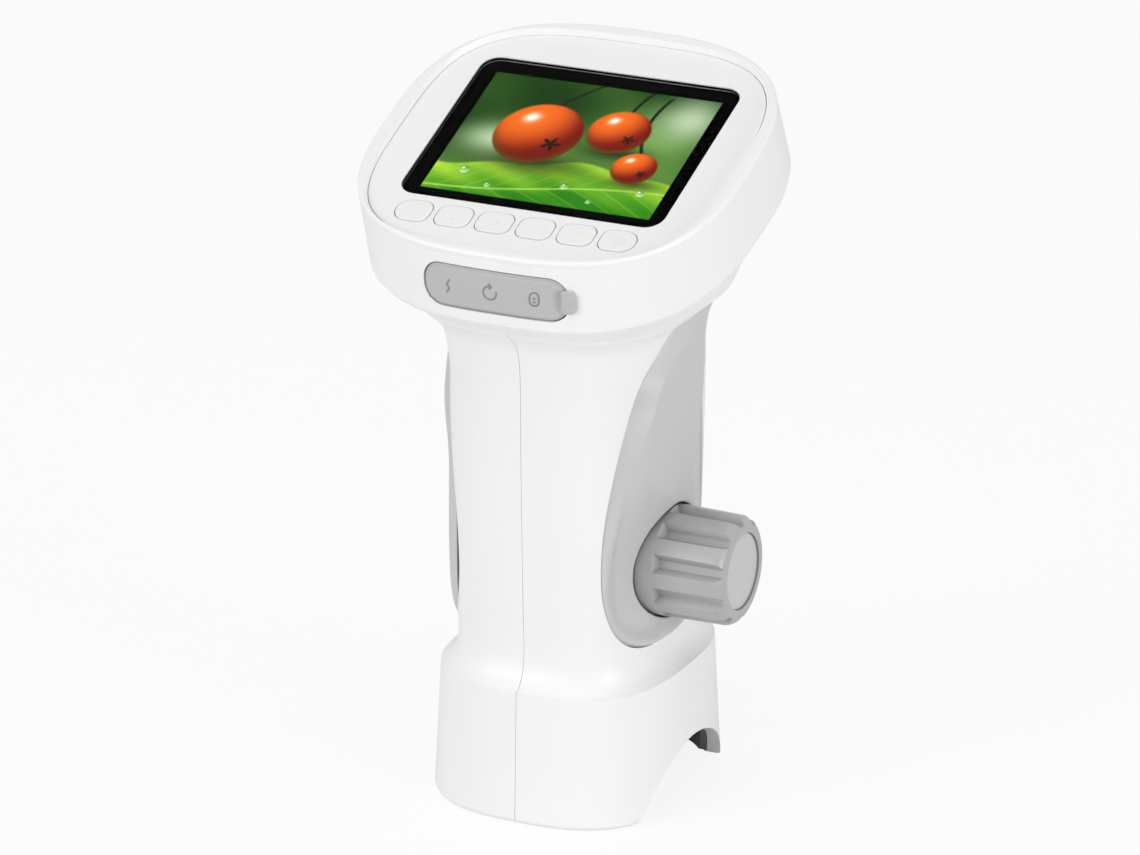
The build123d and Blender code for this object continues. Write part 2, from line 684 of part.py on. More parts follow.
with BuildPart(face_plane) as battery:
    with Locations((0, battery_shift, -main_board_depth - board_thickness - battery_gap)):
        Box(*battery_size, align=(Align.CENTER, Align.CENTER, Align.MAX))
    fillet(battery.edges().filter_by(Axis(face_origin, face_plane.y_dir)), 0.4 * battery_size[2])
pieces["battery"] = battery

# --- focus drive ---------------------------------------------------------------------------------------
slot_floor = knob_tip_radius - rib_slot_depth
slot_top = knob_base_radius + 1     # clear of the knob's skin
slot_end = knob_end_x + 1           # the slots run out through the rounded end
side_slope = (rib_slot_width - rib_slot_floor) / rib_slot_depth
with BuildPart() as rib_slot:
    for radius in (slot_floor, slot_top):
        above = radius - knob_tip_radius
        start = rib_slot_start_x - rib_slot_end_slope * above
        with BuildSketch(Plane((radius, 0, (start + slot_end) / 2), x_dir=(0, 1, 0), z_dir=(1, 0, 0))):
            Rectangle(rib_slot_width + side_slope * above, slot_end - start)
    loft()

shaft_end_x = 25.0
knob_web = 2.0                  # knob material between the shaft's end and the screw head
cap_seat_x = knob_end_x - cap_recess - cap_thickness
skirt_x = bush_outer_x + 2.5 * gap      # the knob's skirt hides its washer
skirt_bore_radius = bush_flange_radius + 2 * gap
with BuildPart() as focus_knob:
    with BuildSketch(Plane.XZ) as knob_profile:
        with BuildLine():
            Polyline(
                (knob_start_x, knob_height + shaft_radius),
                (knob_start_x, knob_height + skirt_bore_radius),
                (skirt_x, knob_height + skirt_bore_radius),
                (skirt_x, knob_height + knob_base_radius),
                (knob_end_x, knob_height + knob_tip_radius),
                (knob_end_x, knob_height + cap_radius + gap),
                (cap_seat_x, knob_height + cap_radius + gap),
                (cap_seat_x, knob_height + screw_head_radius + gap),
                (shaft_end_x + knob_web, knob_height + screw_head_radius + gap),
                (shaft_end_x + knob_web, knob_height + screw_radius + gap),
                (shaft_end_x, knob_height + screw_radius + gap),
                (shaft_end_x, knob_height + shaft_radius),
                close=True,
            )
        make_face()
        tip_corner = Vector(knob_end_x, knob_height + knob_tip_radius, 0)
        fillet(knob_profile.vertices().sort_by_distance(tip_corner)[0], knob_round)
    revolve(axis=Axis((0, 0, knob_height), (1, 0, 0)))
    with Locations(knob_plane):
        with PolarLocations(0, rib_count, start_angle=rib_turn):
            add(rib_slot.part, mode=Mode.SUBTRACT)
pieces["focus_knob"] = focus_knob

with BuildPart(knob_plane) as knob_cap:
    with Locations((0, 0, cap_seat_x)):
        Cylinder(cap_radius, cap_thickness, align=(Align.CENTER, Align.CENTER, Align.MIN))
pieces["knob_cap"] = knob_cap

shaft_screw_depth = 5.0
with BuildPart(knob_plane) as knob_screw:
    with Locations((0, 0, shaft_end_x + knob_web)):
        Cylinder(screw_head_radius, screw_head_height, align=(Align.CENTER, Align.CENTER, Align.MIN))
        Cylinder(screw_radius, knob_web + shaft_screw_depth, align=(Align.CENTER, Align.CENTER, Align.MAX))
pieces["knob_screw"] = knob_screw

with BuildPart(knob_plane) as focus_shaft:
    with Locations((0, 0, pinion_x)):
        Cylinder(shaft_radius, shaft_end_x - pinion_x, align=(Align.CENTER, Align.CENTER, Align.MIN))
    with Locations((0, 0, shaft_end_x)):
        Cylinder(screw_radius, shaft_screw_depth, align=(Align.CENTER, Align.CENTER, Align.MAX),
                 mode=Mode.SUBTRACT)
pieces["focus_shaft"] = focus_shaft

with BuildPart(knob_plane) as shaft_bush:
    with Locations((0, 0, bush_inner_x)):
        Cylinder(bush_flange_radius, bush_flange_thickness, align=(Align.CENTER, Align.CENTER, Align.MAX))
        Cylinder(bush_radius, bush_outer_x - bush_inner_x, align=(Align.CENTER, Align.CENTER, Align.MIN))
    Cylinder(shaft_radius + run_gap, 3 * waist_half[0], mode=Mode.SUBTRACT)
pieces["shaft_bush"] = shaft_bush

with BuildPart(knob_plane) as knob_washer:
    with Locations((0, 0, skirt_x)):
        Cylinder(bush_flange_radius, knob_start_x - gap - skirt_x,
                 align=(Align.CENTER, Align.CENTER, Align.MIN))
    Cylinder(shaft_radius + 2 * gap, 3 * waist_half[0], mode=Mode.SUBTRACT)
pieces["knob_washer"] = knob_washer

addendum = 0.65
dedendum = 0.95
flank = tan(radians(20))
tooth_pitch = pi * tooth_module
with BuildPart() as focus_pinion:
    with BuildSketch(knob_plane.offset(pinion_x)):
        root = pinion_pitch_radius - dedendum
        tip = pinion_pitch_radius + addendum
        Circle(root)
        with PolarLocations(0, pinion_teeth):
            Polygon(
                (root - addendum, -tooth_half - dedendum * flank), (tip, -tooth_half + addendum * flank),
                (tip, tooth_half - addendum * flank), (root - addendum, tooth_half + dedendum * flank),
                align=None,
            )
        Circle(shaft_radius, mode=Mode.SUBTRACT)
    extrude(amount=pinion_width)
pieces["focus_pinion"] = focus_pinion

# The rack lies on the front side of the pinion; one of its gaps takes the pinion's front tooth.
with BuildPart() as focus_rack:
    with BuildSketch(knob_plane.offset(pinion_x)):
        rack_root = -pinion_pitch_radius - dedendum
        rack_low, rack_high = carriage_low - knob_height, carriage_high - knob_height
        with Locations(((rack_root - rack_back) / 2, (rack_low + rack_high) / 2)):
            Rectangle(rack_back + rack_root, rack_high - rack_low)
        for k in range(-20, 20):
            middle = (k + 0.5) * tooth_pitch
            if rack_low + tooth_pitch / 2 < middle < rack_high - tooth_pitch / 2:
                low_half = rack_tooth_half + dedendum * flank
                tip_half = rack_tooth_half - addendum * flank
                Polygon(
                    (rack_root - addendum, middle - low_half), (rack_root, middle - low_half),
                    (rack_root + dedendum + addendum, middle - tip_half),
                    (rack_root + dedendum + addendum, middle + tip_half),
                    (rack_root, middle + low_half), (rack_root - addendum, middle + low_half),
                    align=None,
                )
    extrude(amount=pinion_width)
pieces["focus_rack"] = focus_rack

# --- optics ----------------------------------------------------------------------------------------------
arm_inset = 2.0
with BuildPart() as focus_carriage:
    with Locations((0, 0, carriage_low)):
        Cylinder(carriage_radius, carriage_high - carriage_low, align=(Align.CENTER, Align.CENTER, Align.MIN))
    for x, y in rod_spots:
        with Locations((x, y, carriage_low)):
            Cylinder(rod_bush_radius, carriage_high - carriage_low,
                     align=(Align.CENTER, Align.CENTER, Align.MIN))
        with Locations((x / 2, y / 2, carriage_low)):
            Box(max(abs(x), rod_bush_radius), max(abs(y), rod_bush_radius), carriage_high - carriage_low,
                align=(Align.CENTER, Align.CENTER, Align.MIN))
    with Locations(((pinion_x - gap) / 2, -rack_back, carriage_low + arm_inset)):
        Box((pinion_x - gap), rack_back + rack_root - 3 * gap, carriage_high - carriage_low - 2 * arm_inset,
            align=(Align.CENTER, Align.MIN, Align.MIN))
    Cylinder(barrel_radius + run_gap, 3 * carriage_high, mode=Mode.SUBTRACT)
    with Locations(*rod_spots):
        Cylinder(rod_radius + run_gap, 3 * carriage_high, mode=Mode.SUBTRACT)
pieces["focus_carriage"] = focus_carriage

with BuildPart() as guide_rods:
    with Locations(*[(x, y, lower_plate_height) for x, y in rod_spots]):
        Cylinder(rod_radius, upper_plate_height + chassis_plate - lower_plate_height,
                 align=(Align.CENTER, Align.CENTER, Align.MIN))
pieces["guide_rods"] = guide_rods

with BuildPart() as optics_chassis:
    for z in (lower_plate_height, upper_plate_height):
        extrude(squircle(at_height(z), cavity_half, waist_power, grow=-gap), amount=chassis_plate,
                dir=(0, 0, 1))
    with Locations((0, 0, lower_plate_height)):
        Cylinder(barrel_radius + 6 * gap, 3 * chassis_plate, mode=Mode.SUBTRACT)
    with Locations((0, 0, upper_plate_height)):
        Box(*sensor_opening, 3 * chassis_plate, mode=Mode.SUBTRACT)
    for side in (-1, 1):
        with Locations((side * chassis_column_spot[0], chassis_column_spot[1], lower_plate_height)):
            Box(*chassis_column, upper_plate_height + chassis_plate - lower_plate_height,
                align=(Align.CENTER, Align.CENTER, Align.MIN))
    with Locations(*rod_spots):
        Cylinder(rod_radius, 3 * upper_plate_height, mode=Mode.SUBTRACT)
    with Locations(*[Plane((0, y, z), z_dir=(1, 0, 0)) for y, z in boss_spots]):
        Cylinder(boss_radius + gap, 3 * waist_half[0], mode=Mode.SUBTRACT)
pieces["optics_chassis"] = optics_chassis

lens_seat = 1.2
front_lens_low = barrel_low + lens_seat
rear_lens_low = barrel_high - 6.0
throat_radius = barrel_bore_radius - 1
with BuildPart() as lens_barrel:
    with Locations((0, 0, barrel_low)):
        Cylinder(barrel_radius, barrel_high - barrel_low, align=(Align.CENTER, Align.CENTER, Align.MIN))
        Cylinder(barrel_bore_radius, 2 * (lens_seat + lens_edge + 2 * lens_sag), mode=Mode.SUBTRACT)
    Cylinder(throat_radius, 3 * barrel_high, mode=Mode.SUBTRACT)
    with Locations((0, 0, rear_lens_low)):
        Cylinder(barrel_bore_radius, barrel_high, align=(Align.CENTER, Align.CENTER, Align.MIN),
                 mode=Mode.SUBTRACT)
pieces["lens_barrel"] = lens_barrel


def lens(low):
    """A biconvex lens on the optical axis, its edge standing from low."""
    curve_radius = (lens_radius ** 2 + lens_sag ** 2) / (2 * lens_sag)
    with BuildPart() as glass:
        with Locations((0, 0, low + lens_edge / 2)):
            Cylinder(lens_radius, lens_edge + 3 * lens_sag)
        with Locations((0, 0, low + lens_edge + lens_sag - curve_radius)):
            Sphere(curve_radius, mode=Mode.INTERSECT)
        with Locations((0, 0, low - lens_sag + curve_radius)):
            Sphere(curve_radius, mode=Mode.INTERSECT)
    return glass


pieces["front_lens"] = lens(front_lens_low)
pieces["rear_lens"] = lens(rear_lens_low + 1)

with BuildPart() as lens_retainer:
    with Locations((0, 0, barrel_low)):
        Cylinder(barrel_bore_radius, lens_seat - 4 * gap, align=(Align.CENTER, Align.CENTER, Align.MIN))
        Cylinder(throat_radius, 2 * lens_seat, mode=Mode.SUBTRACT)
pieces["lens_retainer"] = lens_retainer

with BuildPart() as light_baffle:
    with Locations((0, 0, baffle_low)):
        Cylinder(baffle_radius, upper_plate_height - baffle_low, align=(Align.CENTER, Align.CENTER, Align.MIN))
        Cylinder(baffle_radius - baffle_wall, 3 * upper_plate_height, mode=Mode.SUBTRACT)
pieces["light_baffle"] = light_baffle

with BuildPart() as sensor_board:
    with Locations((0, 0, upper_plate_height + chassis_plate)):
        Box(sensor_board_size, sensor_board_size, sensor_board_thickness,
            align=(Align.CENTER, Align.CENTER, Align.MIN))
pieces["sensor_board"] = sensor_board

with BuildPart() as image_sensor:
    with Locations((0, 0, upper_plate_height + chassis_plate)):
        Box(*sensor_size, align=(Align.CENTER, Align.CENTER, Align.MAX))
pieces["image_sensor"] = image_sensor

# --- light unit in the foot ---------------------------------------------------------------------------------
shroud_top = foot_ceiling - gap
shroud_plate = 1.4
led_board_top = shroud_top - shroud_plate - gap
with BuildPart() as shroud_hollow:
    add(foot_outer(-wall - gap - shroud_wall, 0))
    split(bisect_by=at_height(shroud_top - shroud_plate), keep=Keep.BOTTOM)
with BuildPart() as light_shroud:
    add(foot_outer(-wall - gap, 0))
    split(bisect_by=at_height(shroud_top), keep=Keep.BOTTOM)
    split(bisect_by=at_height(shroud_low), keep=Keep.TOP)
    add(shroud_hollow.part, mode=Mode.SUBTRACT)
    extrude(arch_profile.sketch, amount=2 * waist_half[0], both=True, mode=Mode.INTERSECT)
    with BuildSketch(at_height(diffuser_height)):
        Circle(light_ring_outer + light_ring_wall)
        Circle(light_ring_outer, mode=Mode.SUBTRACT)
        Circle(light_hole_radius + light_ring_wall)
    extrude(amount=shroud_top - diffuser_height)
    Cylinder(light_hole_radius, 3 * shroud_top, mode=Mode.SUBTRACT)
pieces["light_shroud"] = light_shroud

ring_inner = light_hole_radius + light_ring_wall + gap
ring_outer = light_ring_outer - gap
with BuildPart() as led_board:
    with BuildSketch(at_height(led_board_top - led_board_thickness)):
        Circle(ring_outer)
        Circle(ring_inner, mode=Mode.SUBTRACT)
    extrude(amount=led_board_thickness)
pieces["led_board"] = led_board

with BuildPart() as leds:
    with Locations((0, 0, led_board_top - led_board_thickness)):
        with PolarLocations(led_ring_radius, led_count):
            Box(*led_size, align=(Align.CENTER, Align.CENTER, Align.MAX))
pieces["leds"] = leds

with BuildPart() as light_diffuser:
    with BuildSketch(at_height(diffuser_height)):
        Circle(ring_outer)
        Circle(ring_inner, mode=Mode.SUBTRACT)
    extrude(amount=diffuser_thickness)
pieces["light_diffuser"] = light_diffuser

for name, piece in pieces.items():
    piece.part.label = name
    export_step(piece.part, f"parts/{name}.step")
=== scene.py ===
import bmesh
import bpy
import numpy as np
from math import cos, sin, pi, radians
from mathutils import Matrix, Vector


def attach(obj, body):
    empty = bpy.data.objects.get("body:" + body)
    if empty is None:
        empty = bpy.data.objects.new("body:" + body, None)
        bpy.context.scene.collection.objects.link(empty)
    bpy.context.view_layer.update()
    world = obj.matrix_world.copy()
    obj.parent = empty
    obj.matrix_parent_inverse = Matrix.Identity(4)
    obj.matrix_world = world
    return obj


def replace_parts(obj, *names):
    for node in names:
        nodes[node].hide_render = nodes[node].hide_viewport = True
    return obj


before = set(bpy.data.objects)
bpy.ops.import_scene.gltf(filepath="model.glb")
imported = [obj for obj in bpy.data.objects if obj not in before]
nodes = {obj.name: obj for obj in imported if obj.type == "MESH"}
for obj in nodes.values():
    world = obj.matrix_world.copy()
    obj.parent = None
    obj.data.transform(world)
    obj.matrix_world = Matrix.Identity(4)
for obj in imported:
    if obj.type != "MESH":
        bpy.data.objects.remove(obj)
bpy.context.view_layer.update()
scene = bpy.context.scene
mm = 0.001
print("frame loaded:", len(nodes), "nodes")


# the head's own frame: its face is tilted by an angle in degrees; every length is in millimetres
head = {"origin": (0.0, -3.0, 111.9), "tilt": 22.5}
headUp = np.array([0, cos(radians(head["tilt"])), sin(radians(head["tilt"]))])
headOut = np.array([0, -sin(radians(head["tilt"])), cos(radians(head["tilt"]))])


def onHead(x, y, h):
    # point of the face frame: origin + x along X + y up the face + h out of the face
    x, y, h = np.broadcast_arrays(np.asarray(x, float), y, h)
    return (np.array(head["origin"]) + x[..., None] * np.array([1.0, 0, 0])
            + y[..., None] * headUp + h[..., None] * headOut)


camera = {"azimuth": 25.745, "elevation": 20.033, "lens": 190.18, "place": (403.416, -839.868, 401.315),
          "sensor": 36, "clip": (0.01, 20)}


def makeCamera(c):
    # turned by azimuth and elevation in degrees; lens and sensor in millimetres, clip in metres
    a, e = radians(c["azimuth"]), radians(c["elevation"])
    right = Vector((cos(a), sin(a), 0))
    up = Vector((-sin(a) * sin(e), cos(a) * sin(e), cos(e)))
    back = Vector((sin(a) * cos(e), -cos(a) * cos(e), sin(e)))
    data = bpy.data.cameras.new("camera")
    data.lens = c["lens"]
    data.sensor_width = c["sensor"]
    data.clip_start, data.clip_end = c["clip"]
    obj = bpy.data.objects.new("camera", data)
    turn = Matrix((right, up, back)).transposed().to_4x4()
    obj.matrix_world = Matrix.Translation(Vector(c["place"]) * mm) @ turn
    scene.collection.objects.link(obj)
    scene.camera = obj


makeCamera(camera)
print("camera done")


def toLinear(c):
    # sRGB to linear: c/12.92 below 0.04045, ((c + 0.055)/1.055)^2.4 above
    return np.where(c <= 0.04045, c / 12.92, ((c + 0.055) / 1.055) ** 2.4)


def linearColour(hexText):
    return (*toLinear(np.array([int(hexText[i:i + 2], 16) for i in (0, 2, 4)]) / 255), 1.0)


def addNode(tree, kind, inputs=None, **settings):
    # an input's value is a socket to link or a plain value; a Mix node's sockets go by number:
    # 0 is the factor, 2 and 3 are numbers, 6 and 7 are colours, and output 2 is the mixed colour
    node = tree.nodes.new(kind)
    for key, value in settings.items():
        setattr(node, key, value)
    for key, value in (inputs or {}).items():
        if isinstance(value, bpy.types.NodeSocket):
            tree.links.new(value, node.inputs[key])
        else:
            node.inputs[key].default_value = value
    return node


def startMaterial(name):
    material = bpy.data.materials.new(name)
    material.use_nodes = True
    tree = material.node_tree
    tree.nodes.clear()
    shader = addNode(tree, "ShaderNodeBsdfPrincipled")
    addNode(tree, "ShaderNodeOutputMaterial", {"Surface": shader.outputs["BSDF"]})
    place = addNode(tree, "ShaderNodeTexCoord").outputs["Object"]
    return material, tree, shader, place


def finish(name, colour, second, roughness, grain, patch=25.0, spread=0.06, depth=0.01, edge=0.0, paintedShadeReach=0.0,
           settings=None):
    # colour drifts to a second one over patches of a given size, roughness varies by a spread, a bump has
    # grains of a given size and depth, sharp edges catch light over a given width, and recesses narrower than
    # a given width get painted shade that darkens their colour, all in millimetres
    material, tree, shader, place = startMaterial(name)
    for key, value in (settings or {}).items():
        shader.inputs[key].default_value = value
    drift = addNode(tree, "ShaderNodeTexNoise", {"Vector": place, "Scale": 1 / (patch * mm), "Detail": 2.0})
    tint = addNode(tree, "ShaderNodeMix", {
        0: drift.outputs["Fac"], 6: linearColour(colour), 7: linearColour(second)}, data_type="RGBA")
    if paintedShadeReach:
        # painted shade: ambient occlusion darkens the base colour in recesses
        openness = addNode(tree, "ShaderNodeAmbientOcclusion", {"Distance": paintedShadeReach * mm}, samples=8)
        filmGrainAndPaintedShade = addNode(tree, "ShaderNodeMapRange", {
            "Value": openness.outputs["AO"], "From Min": 0.5, "To Min": 0.6})
        tint = addNode(tree, "ShaderNodeMix", {0: 1.0, 6: tint.outputs[2], 7: filmGrainAndPaintedShade.outputs["Result"]},
                       data_type="RGBA", blend_type="MULTIPLY")
    tree.links.new(tint.outputs[2], shader.inputs["Base Color"])
    fine = addNode(tree, "ShaderNodeTexNoise", {"Vector": place, "Scale": 1 / (grain * mm), "Detail": 3.0})
    rough = addNode(tree, "ShaderNodeMapRange", {
        "Value": fine.outputs["Fac"], "From Min": 0.3, "From Max": 0.7,
        "To Min": roughness - spread, "To Max": roughness + spread})
    tree.links.new(rough.outputs["Result"], shader.inputs["Roughness"])
    bump = addNode(tree, "ShaderNodeBump", {
        "Height": fine.outputs["Fac"], "Strength": 0.5, "Distance": depth * mm})
    if edge:
        soft = addNode(tree, "ShaderNodeBevel", {"Radius": edge * mm}, samples=6)
        tree.links.new(soft.outputs["Normal"], bump.inputs["Normal"])
    tree.links.new(bump.outputs["Normal"], shader.inputs["Normal"])
    return material


absIndex = {"IOR": 1.53}
# injection-moulded ABS with a satin, very finely sparked skin: wide soft highlights
whiteAbs = finish("whiteMouldedAbs", "F4F4F4", "F6F6F6", 0.42, 0.35, edge=0.04, settings=absIndex)
# the same ABS, polished a little more: the plate round the screen and the keys
plateAbs = finish("whitePlateAbs", "F3F3F3", "F5F5F5", 0.36, 0.35, edge=0.15, settings=absIndex)
keyAbs = finish("keyAbs", "F1F1F1", "F4F4F4", 0.34, 0.3, edge=0.12, settings=absIndex)
# grey ABS grip with a matt spark-eroded texture of about a quarter of a millimetre
greyAbs = finish("greyGripAbs", "C8C8C8", "CDCDCD", 0.40, 0.25, depth=0.02, edge=0.15, settings=absIndex)
# the knob: the panel's grey ABS, slightly smoother from handling; its colour is set darker than the panel's as
# painted shade for its grooves, and its recesses get more painted shade
knobAbs = finish("greyKnobAbs", "B0B0B0", "B5B5B5", 0.34, 0.25, depth=0.015, edge=0.15, paintedShadeReach=2.0,
                 settings=absIndex)
# its end cap: a lighter grey, turned smoother
capAbs = finish("greyCapAbs", "C8C8C8", "CCCCCC", 0.3, 0.25, depth=0.01, edge=0.15, settings=absIndex)
# moulded silicone rubber flap: matt, with a weak sheen
flapRubber = finish("greySiliconeRubber", "BABABA", "BEBEBE", 0.55, 0.3, depth=0.015,
                    edge=0.2, settings={"IOR": 1.43, "Sheen Weight": 0.15})
# pad-printed symbols on the flap, a darker grey than the rubber
symbolInk = finish("greySymbolInk", "85878A", "8A8C8F", 0.5, 0.3)
# black ABS of liners and optical parts, matt against stray light
blackAbs = finish("blackMattAbs", "2B2C2E", "333436", 0.6, 0.25, depth=0.02, settings=absIndex)
linerAbs = finish("darkLinerAbs", "6A6B6D", "727375", 0.55, 0.3, depth=0.02, settings=absIndex)
# black ink printed on the back of the cover glass: deep and even
maskInk = finish("blackMaskInk", "050505", "070707", 0.5, 0.5, spread=0.03, depth=0.002,
                 settings={"Specular IOR Level": 0.0})
# anodised black aluminium lens cell
blackAluminium = finish("blackAnodisedAluminium", "1A1A1C", "202023", 0.38, 0.2, settings={"Metallic": 0.9})
# turned bright steel
brightSteel = finish("turnedSteel", "B8BABD", "C4C6C8", 0.28, 0.15, settings={"Metallic": 1.0})
brass = finish("cutBrass", "C9A24F", "D3AE5C", 0.3, 0.2, settings={"Metallic": 1.0})
# solder-masked glass epoxy board
boardEpoxy = finish("greenSolderMask", "1F5B36", "27693F", 0.32, 0.6, patch=4.0, settings={"Coat Weight": 0.4})
chipEpoxy = finish("blackMouldingCompound", "1C1C1E", "232325", 0.5, 0.2, depth=0.01)
cellFoil = finish("batteryFoil", "B9BBBE", "C6C8CA", 0.3, 1.2, patch=3.0, settings={"Metallic": 0.85})
# translucent PMMA diffuser and LED resin
diffuserPmma = finish("opalDiffuser", "F1F1EC", "F5F5F1", 0.45, 0.3)
ledResin = finish("yellowLedResin", "EADB8C", "F0E39C", 0.3, 0.4, patch=1.0)
acetal = finish("naturalAcetal", "ECEAE0", "F1EFE6", 0.35, 0.3)


glass = {"colour": "FFFFFF", "roughness": 0.03, "index": 1.04, "mirror": 0.2, "ripple": 12.0,
         "rippleDepth": 0.01}


def clearGlass(g):
    # polished cover glass, as weak a mirror as an anti-reflection coating leaves: clear, with sharp
    # reflections; its surface ripples over a given size and to a given depth in millimetres
    material, tree, shader, place = startMaterial("coverGlass")
    shader.inputs["Base Color"].default_value = linearColour(g["colour"])
    shader.inputs["Roughness"].default_value = g["roughness"]
    shader.inputs["IOR"].default_value = g["index"]
    shader.inputs["Specular IOR Level"].default_value = g["mirror"]
    shader.inputs["Transmission Weight"].default_value = 1.0
    ripple = addNode(tree, "ShaderNodeTexNoise", {
        "Vector": place, "Scale": 1 / (g["ripple"] * mm), "Detail": 1.0})
    bump = addNode(tree, "ShaderNodeBump", {
        "Height": ripple.outputs["Fac"], "Strength": 0.1, "Distance": g["rippleDepth"] * mm})
    tree.links.new(bump.outputs["Normal"], shader.inputs["Normal"])
    return material


coverGlass = clearGlass(glass)

nodeFinish = {
    "body_shell_left": whiteAbs, "body_shell_right": whiteAbs, "head_shell": whiteAbs,
    "face_plate": plateAbs, "side_panel_left": greyAbs, "side_panel_right": greyAbs,
    "port_cover": flapRubber, "focus_knob": knobAbs, "knob_cap": capAbs,
    "power_key": keyAbs, "menu_key": keyAbs, "up_key": keyAbs, "down_key": keyAbs,
    "playback_key": keyAbs, "capture_key": keyAbs,
    "screen_lens": coverGlass, "screen_mask": maskInk, "front_lens": coverGlass, "rear_lens": coverGlass,
    "light_shroud": linerAbs, "light_diffuser": diffuserPmma, "leds": ledResin, "led_board": boardEpoxy,
    "lens_barrel": blackAluminium, "lens_retainer": blackAluminium, "light_baffle": blackAbs,
    "focus_carriage": blackAbs, "optics_chassis": blackAbs, "guide_rods": brightSteel,
    "focus_rack": brass, "focus_pinion": brass, "focus_shaft": brightSteel, "knob_screw": brightSteel,
    "shaft_bush": acetal, "knob_washer": acetal, "case_screws": brightSteel, "board_screws": brightSteel,
    "main_board": boardEpoxy, "key_board": boardEpoxy, "sensor_board": boardEpoxy,
    "board_chips": chipEpoxy, "key_switches": chipEpoxy, "image_sensor": chipEpoxy,
    "reset_switch": chipEpoxy, "reset_pin": blackAbs, "lcd_tray": brightSteel, "lcd_display": maskInk,
    "usb_socket": brightSteel, "card_socket": brightSteel, "battery": cellFoil,
}
for name, material in nodeFinish.items():
    obj = nodes[name]
    for slot in obj.material_slots:
        slot.material = material
    if not obj.material_slots:
        print("no slot on", name)
print("materials done")


def gridQuads(rows, columns, closeU=False, closeV=False):
    # quads between the lines of a grid; a closed direction joins its last line to its first
    i, j = np.meshgrid(np.arange(rows if closeU else rows - 1), np.arange(columns if closeV else columns - 1),
                       indexing="ij")
    ni, nj = (i + 1) % rows, (j + 1) % columns
    corners = [i * columns + j, ni * columns + j, ni * columns + nj, i * columns + nj]
    return np.stack(corners, -1).reshape(-1, 4)


weldDistance = 0.0005       # millimetres


def pointOutward(mesh, weld=False):
    # merges points that share a place, if asked, and turns every face outward
    work = bmesh.new()
    work.from_mesh(mesh)
    if weld:
        bmesh.ops.remove_doubles(work, verts=work.verts, dist=weldDistance * mm)
    bmesh.ops.recalc_face_normals(work, faces=work.faces)
    work.to_mesh(mesh)
    work.free()


def meshFrom(name, parts, smooth=True, weld=True):
    # parts are (points in millimetres, faces) pairs, with as many corners to every face
    counts = np.cumsum([0] + [len(points) for points, faces in parts])
    points = np.concatenate([np.asarray(points, float) for points, faces in parts])
    faces = np.concatenate([np.asarray(part[1]) + start for part, start in zip(parts, counts)])
    mesh = bpy.data.meshes.new(name)
    mesh.vertices.add(len(points))
    mesh.vertices.foreach_set("co", (points * mm).ravel())
    mesh.loops.add(faces.size)
    mesh.loops.foreach_set("vertex_index", faces.ravel().astype(np.int32))
    mesh.polygons.add(len(faces))
    mesh.polygons.foreach_set("loop_start", (np.arange(len(faces)) * faces.shape[1]).astype(np.int32))
    mesh.polygons.foreach_set("use_smooth", np.full(len(faces), smooth))
    mesh.update()
    mesh.validate()
    if weld:
        pointOutward(mesh, weld=True)
    obj = bpy.data.objects.new(name, mesh)
    scene.collection.objects.link(obj)
    return obj


def placePiece(obj, material, body):
    obj.data.materials.append(material)
    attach(obj, body)
    return obj


def ease(low, high, x):
    # 0 below low, 1 above high, and 3t^2 - 2t^3 between
    t = np.clip((x - low) / (high - low), 0, 1)
    return t * t * (3 - 2 * t)


# plates are a rounded outline, inset step by step while its height follows a profile
def roundedLoop(width, height, radii, inset, arcPoints=9, sidePoints=24):
    # rectangle less the inset on every side; its corners are arcs of (radius - inset), right top first
    w, h = max(width / 2 - inset, 0), max(height / 2 - inset, 0)
    loop = []
    for corner, (sx, sy) in enumerate([(1, 1), (-1, 1), (-1, -1), (1, -1)]):
        r = min(max(radii[corner] - inset, 0), w, h)
        turn = np.linspace(0, pi / 2, arcPoints) + corner * pi / 2
        loop.append(np.stack([sx * (w - r) + r * np.cos(turn), sy * (h - r) + r * np.sin(turn)], 1))
    sides = [np.linspace(a[-1], b[0], sidePoints + 2)[1:-1] for a, b in zip(loop, loop[1:] + loop[:1])]
    return np.concatenate([part for pair in zip(loop, sides) for part in pair])


def plate(width, height, radii, profile, surface, shift=0.0):
    # rings of the outline, one for each (inset, height) of the profile from the back's middle to the front's
    rings = np.stack([roundedLoop(width, height, radii, inset) for inset, level in profile])
    levels = np.array([level for inset, level in profile])[:, None] * np.ones(rings.shape[1])
    grid = surface(rings[..., 0] + shift, rings[..., 1], levels)
    return grid.reshape(-1, 3), gridQuads(*levels.shape, closeV=True)


def roundOver(inset, level, radius, outward=1, count=5):
    # a quarter circle of (inset, level) steps from an upright edge onto a level face, or back
    turn = np.linspace(0, pi / 2, count)
    steps = [(inset + radius * (1 - cos(t)), level - outward * radius * (1 - sin(t))) for t in turn]
    return steps if outward > 0 else steps[::-1]


pane = {"size": (46.5, 36.0), "radius": 3.0, "back": -0.74, "front": 0.0, "rim": 0.8, "backRound": 0.1,
        "frontRound": 0.25, "inkedBelow": 0.5}
middle = pane["size"][1] / 2
profile = ([(middle, pane["back"]), (pane["rim"], pane["back"])]
           + roundOver(0, pane["back"], pane["backRound"], -1) + roundOver(0, pane["front"], pane["frontRound"])
           + [(pane["rim"], pane["front"]), (middle, pane["front"])])
paneObject = meshFrom("screenPane", [plate(*pane["size"], [pane["radius"]] * 4, profile, onHead)])
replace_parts(placePiece(paneObject, coverGlass, "housing"), "screen_lens")
paneObject.data.materials.append(maskInk)       # the ground edge of the pane is inked black
normals = np.zeros(len(paneObject.data.polygons) * 3)
paneObject.data.polygons.foreach_get("normal", normals)
inked = np.abs(normals.reshape(-1, 3) @ headOut) < pane["inkedBelow"]
paneObject.data.polygons.foreach_set("material_index", inked.astype(np.int32))

